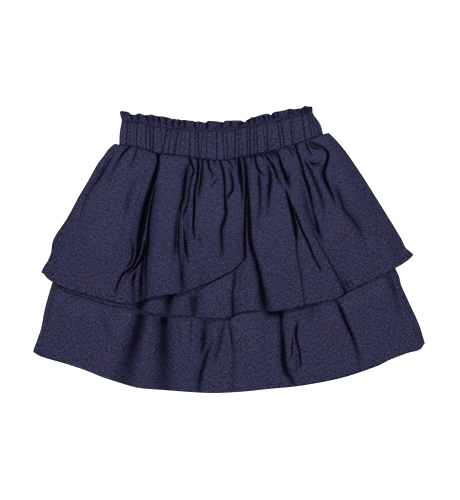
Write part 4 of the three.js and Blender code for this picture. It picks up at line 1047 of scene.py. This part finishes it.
# The band's ends are (height, x), with the height as band_point has it.
band_left = Edge([(0, -137), (0.5, -136.4), (1, -134), (1.5, -135.4), (2, -136.5)])
band_right = Edge([(0, 117.5), (0.5, 113.6), (1, 105), (1.5, 104.4), (2, 104)])
band_gathers = np.array([
    # x on the stitched line, x on the waist seam, depth, width
    (-126, -128, 0.8, 1.6), (-123, -124, 0.5, 1.3), (-119, -119, 0.3, 1.2), (-114, -115.5, 0.7, 1.4),
    (-108, -109, 0.3, 1.2), (-103, -103.5, 0.8, 1.5), (-98.5, -98, 1.0, 1.5), (-94, -94.5, 1.0, 1.6),
    (-89, -90, 0.3, 1.2), (-85, -83.5, 0.6, 1.4), (-77.5, -82.5, 1.0, 1.6), (-72, -75.5, 0.7, 1.4),
    (-67, -69.5, 0.4, 1.2), (-62.8, -68.5, 1.0, 1.6), (-59.5, -61.5, 0.5, 1.3), (-54, -55, 0.3, 1.2),
    (-48, -49.5, 0.8, 1.5), (-42, -42.5, 0.6, 1.3), (-38.7, -37.3, 1.0, 1.5), (-32, -35.5, 0.6, 1.3),
    (-27.5, -28.5, 0.7, 1.4), (-21, -21, 0.3, 1.2), (-15.5, -15, 0.9, 1.5), (-8.5, -5.5, 0.8, 1.4),
    (-3, -1.6, 0.8, 1.4), (3, 4, 0.4, 1.2), (8, 7.2, 1.0, 1.5), (11.5, 12.2, 0.8, 1.4),
    (14, 17, 0.5, 1.3), (22.5, 22.5, 0.8, 1.4), (26, 26.2, 1.0, 1.6), (30.5, 31.8, 0.8, 1.3),
    (33.8, 36, 1.0, 1.5), (41.5, 46, 0.6, 1.3), (46.5, 49, 1.0, 1.5), (53, 54, 0.3, 1.2),
    (60.5, 65, 1.0, 1.5), (64.5, 69.5, 1.0, 1.5), (76, 79, 1.0, 1.5), (80, 81.5, 0.6, 1.2),
    (86, 88, 0.3, 1.2), (91, 95, 1.0, 1.5), (98.5, 103.5, 0.8, 1.4), (101.5, 108, 0.6, 1.3),
    (103.8, 113.5, 0.7, 1.5)])
frill_folds = np.array([
    # x on the stitched line, x on the frill's edge, depth, width
    (-133, -130, 0.5, 1.6), (-127, -127, 0.3, 1.5), (-120.5, -122.5, 1.0, 1.9),
    (-113.5, -112.5, 0.7, 1.6), (-99.5, -104, 0.8, 1.8), (-93.5, -94, 0.8, 1.7),
    (-86, -87.5, 1.0, 2.0), (-77.5, -79, 0.9, 1.8), (-69.8, -70, 1.0, 2.0),
    (-63, -60.5, 1.0, 2.0), (-54.5, -55.5, 0.9, 1.8), (-42.8, -42, 1.0, 2.0), (-38, -36, 0.4, 1.4),
    (-27.8, -26.8, 1.0, 2.6), (-16, -12, 0.4, 1.5), (-9.5, -7.5, 1.0, 2.4), (1.8, 2.2, 0.8, 1.7),
    (9, 17, 0.7, 1.6), (12, 20, 0.9, 1.7), (25.5, 25, 1.0, 2.8), (33, 30.5, 1.0, 1.9),
    (41, 36, 0.5, 1.4), (44.5, 43, 0.9, 1.8), (50, 49.5, 0.6, 1.5), (58, 52.5, 1.0, 2.6),
    (61.5, 60, 0.6, 1.4), (73.5, 75.5, 0.6, 1.5), (78.5, 79.5, 0.6, 1.5), (88, 85, 0.4, 1.4),
    (90, 92.3, 1.0, 1.8), (93.5, 96, 0.8, 1.3), (97, 100.5, 1.0, 1.7), (102, 103.5, 0.6, 1.4)])


def band_point(u, height):
    """x and y on the band: height runs from 0 at the waist seam by 1 at the stitched line to 2 at
    the frill's edge, and u from the left end to the right one."""
    def across(h):
        """x at u, at the height h."""
        return mix(band_left(h), band_right(h), u)

    seam = waist_seam(across(0.0)) + SEAM
    stitched = stitch_line(across(1.0))
    edge = frill_top(across(2.0))
    y = np.where(height <= 1, mix(seam, stitched, height), mix(stitched, edge, height - 1))
    return across(height), y


def crest(x, at, depth, width):
    """1 between the creases, down to 1 - depth in each: with d = |x - at|, the least of all the
    creases' 1 - depth * (1 - d / width) ** 2."""
    near = np.clip(1 - np.abs(x[..., None] - at) / width, 0, 1)
    return 1 - np.max(depth * near**2, axis=-1)


def lay_band(name, count, bed, wave, rib, seed):
    """Half of the band, on bed, and the line of its stitches. The casing is HEADING thick and in
    its crests up to BAND + rib, less PINCH at the stitched line. The frill thins from 1.5 HEADING
    to HEADING, and its crests flare up to wave high. Between casing and frill one eases into the
    other just past the line."""
    rows_in_casing, rows_at_line, rows_in_frill = 26, 9, 16
    u, height = np.meshgrid(steps((1, count)), np.concatenate([
        np.linspace(0, 0.9, rows_in_casing), np.linspace(0.92, 1.08, rows_at_line),
        np.linspace(1.12, 2, rows_in_frill)]))
    x, y = band_point(u, height)
    on_line, on_seam, depth, width = band_gathers.T
    casing = crest(
        x, mix(on_seam, on_line, np.minimum(height, 1)[..., None]), depth, GATHER * width)
    on_line, on_edge, depth, width = frill_folds.T
    frill = crest(x, mix(on_line, on_edge, np.clip(height - 1, 0, 1)[..., None]), depth, width)
    stands = mix(casing, frill, ease((height - 0.97) / 0.1))
    to_end = np.minimum(u, 1 - u) * (band_right(height) - band_left(height))
    end = roll(to_end + ROLL_REST, BAND_ROLL)
    flare = np.clip(height - 1, 0, 1)
    pinch = mix(PINCH, 1.0, ease(np.abs(height - 1) / PINCH_REACH))
    lip = roll(height * (stitch_line(x) - waist_seam(x)) + LIP_REST, BAND_LIP)
    in_casing = (HEADING + end * pinch * (BAND - HEADING + rib * stands)) * mix(LIP_LOW, 1, lip)
    in_frill = HEADING * mix(HEADING_ROOT, 1.0, flare)
    under = bed + np.where(height > 1, wave * stands * flare**0.7 * end, 0.0)
    thick = mix(in_casing, in_frill, ease((height - 1) / 0.12))
    over = under + thick + 0.05 * crumple(x, y, 6.0, seed) * end
    stitched = rows_in_casing + rows_at_line // 2
    along = CASING_CUT * np.minimum(height, 1) + HEADING_CUT * flare
    cloth = cloth_mesh(name, x, y, under, over, (u * BAND_CUT[0], along), np.zeros_like(over))
    return cloth, (x[stitched], y[stitched], over[stitched])


band_back_cloth, _ = lay_band("waistband_back_cloth", 200, 0.0, BACK_WAVE, BACK_RIB, 41)
band_front_cloth, band_line = lay_band(
    "waistband_front_cloth", 720, BAND + BACK_RIB + GAP, FRILL_WAVE, BAND_RIB, 42)
waistband_stitches = sew("waistband_stitches", *band_line)
for cloth, node, sewn in ((band_back_cloth, "waistband_back", []),
                          (band_front_cloth, "waistband_front", [waistband_stitches])):
    cloth.data.materials.append(navy_chambray)
    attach(cloth, "root")
    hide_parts(node)
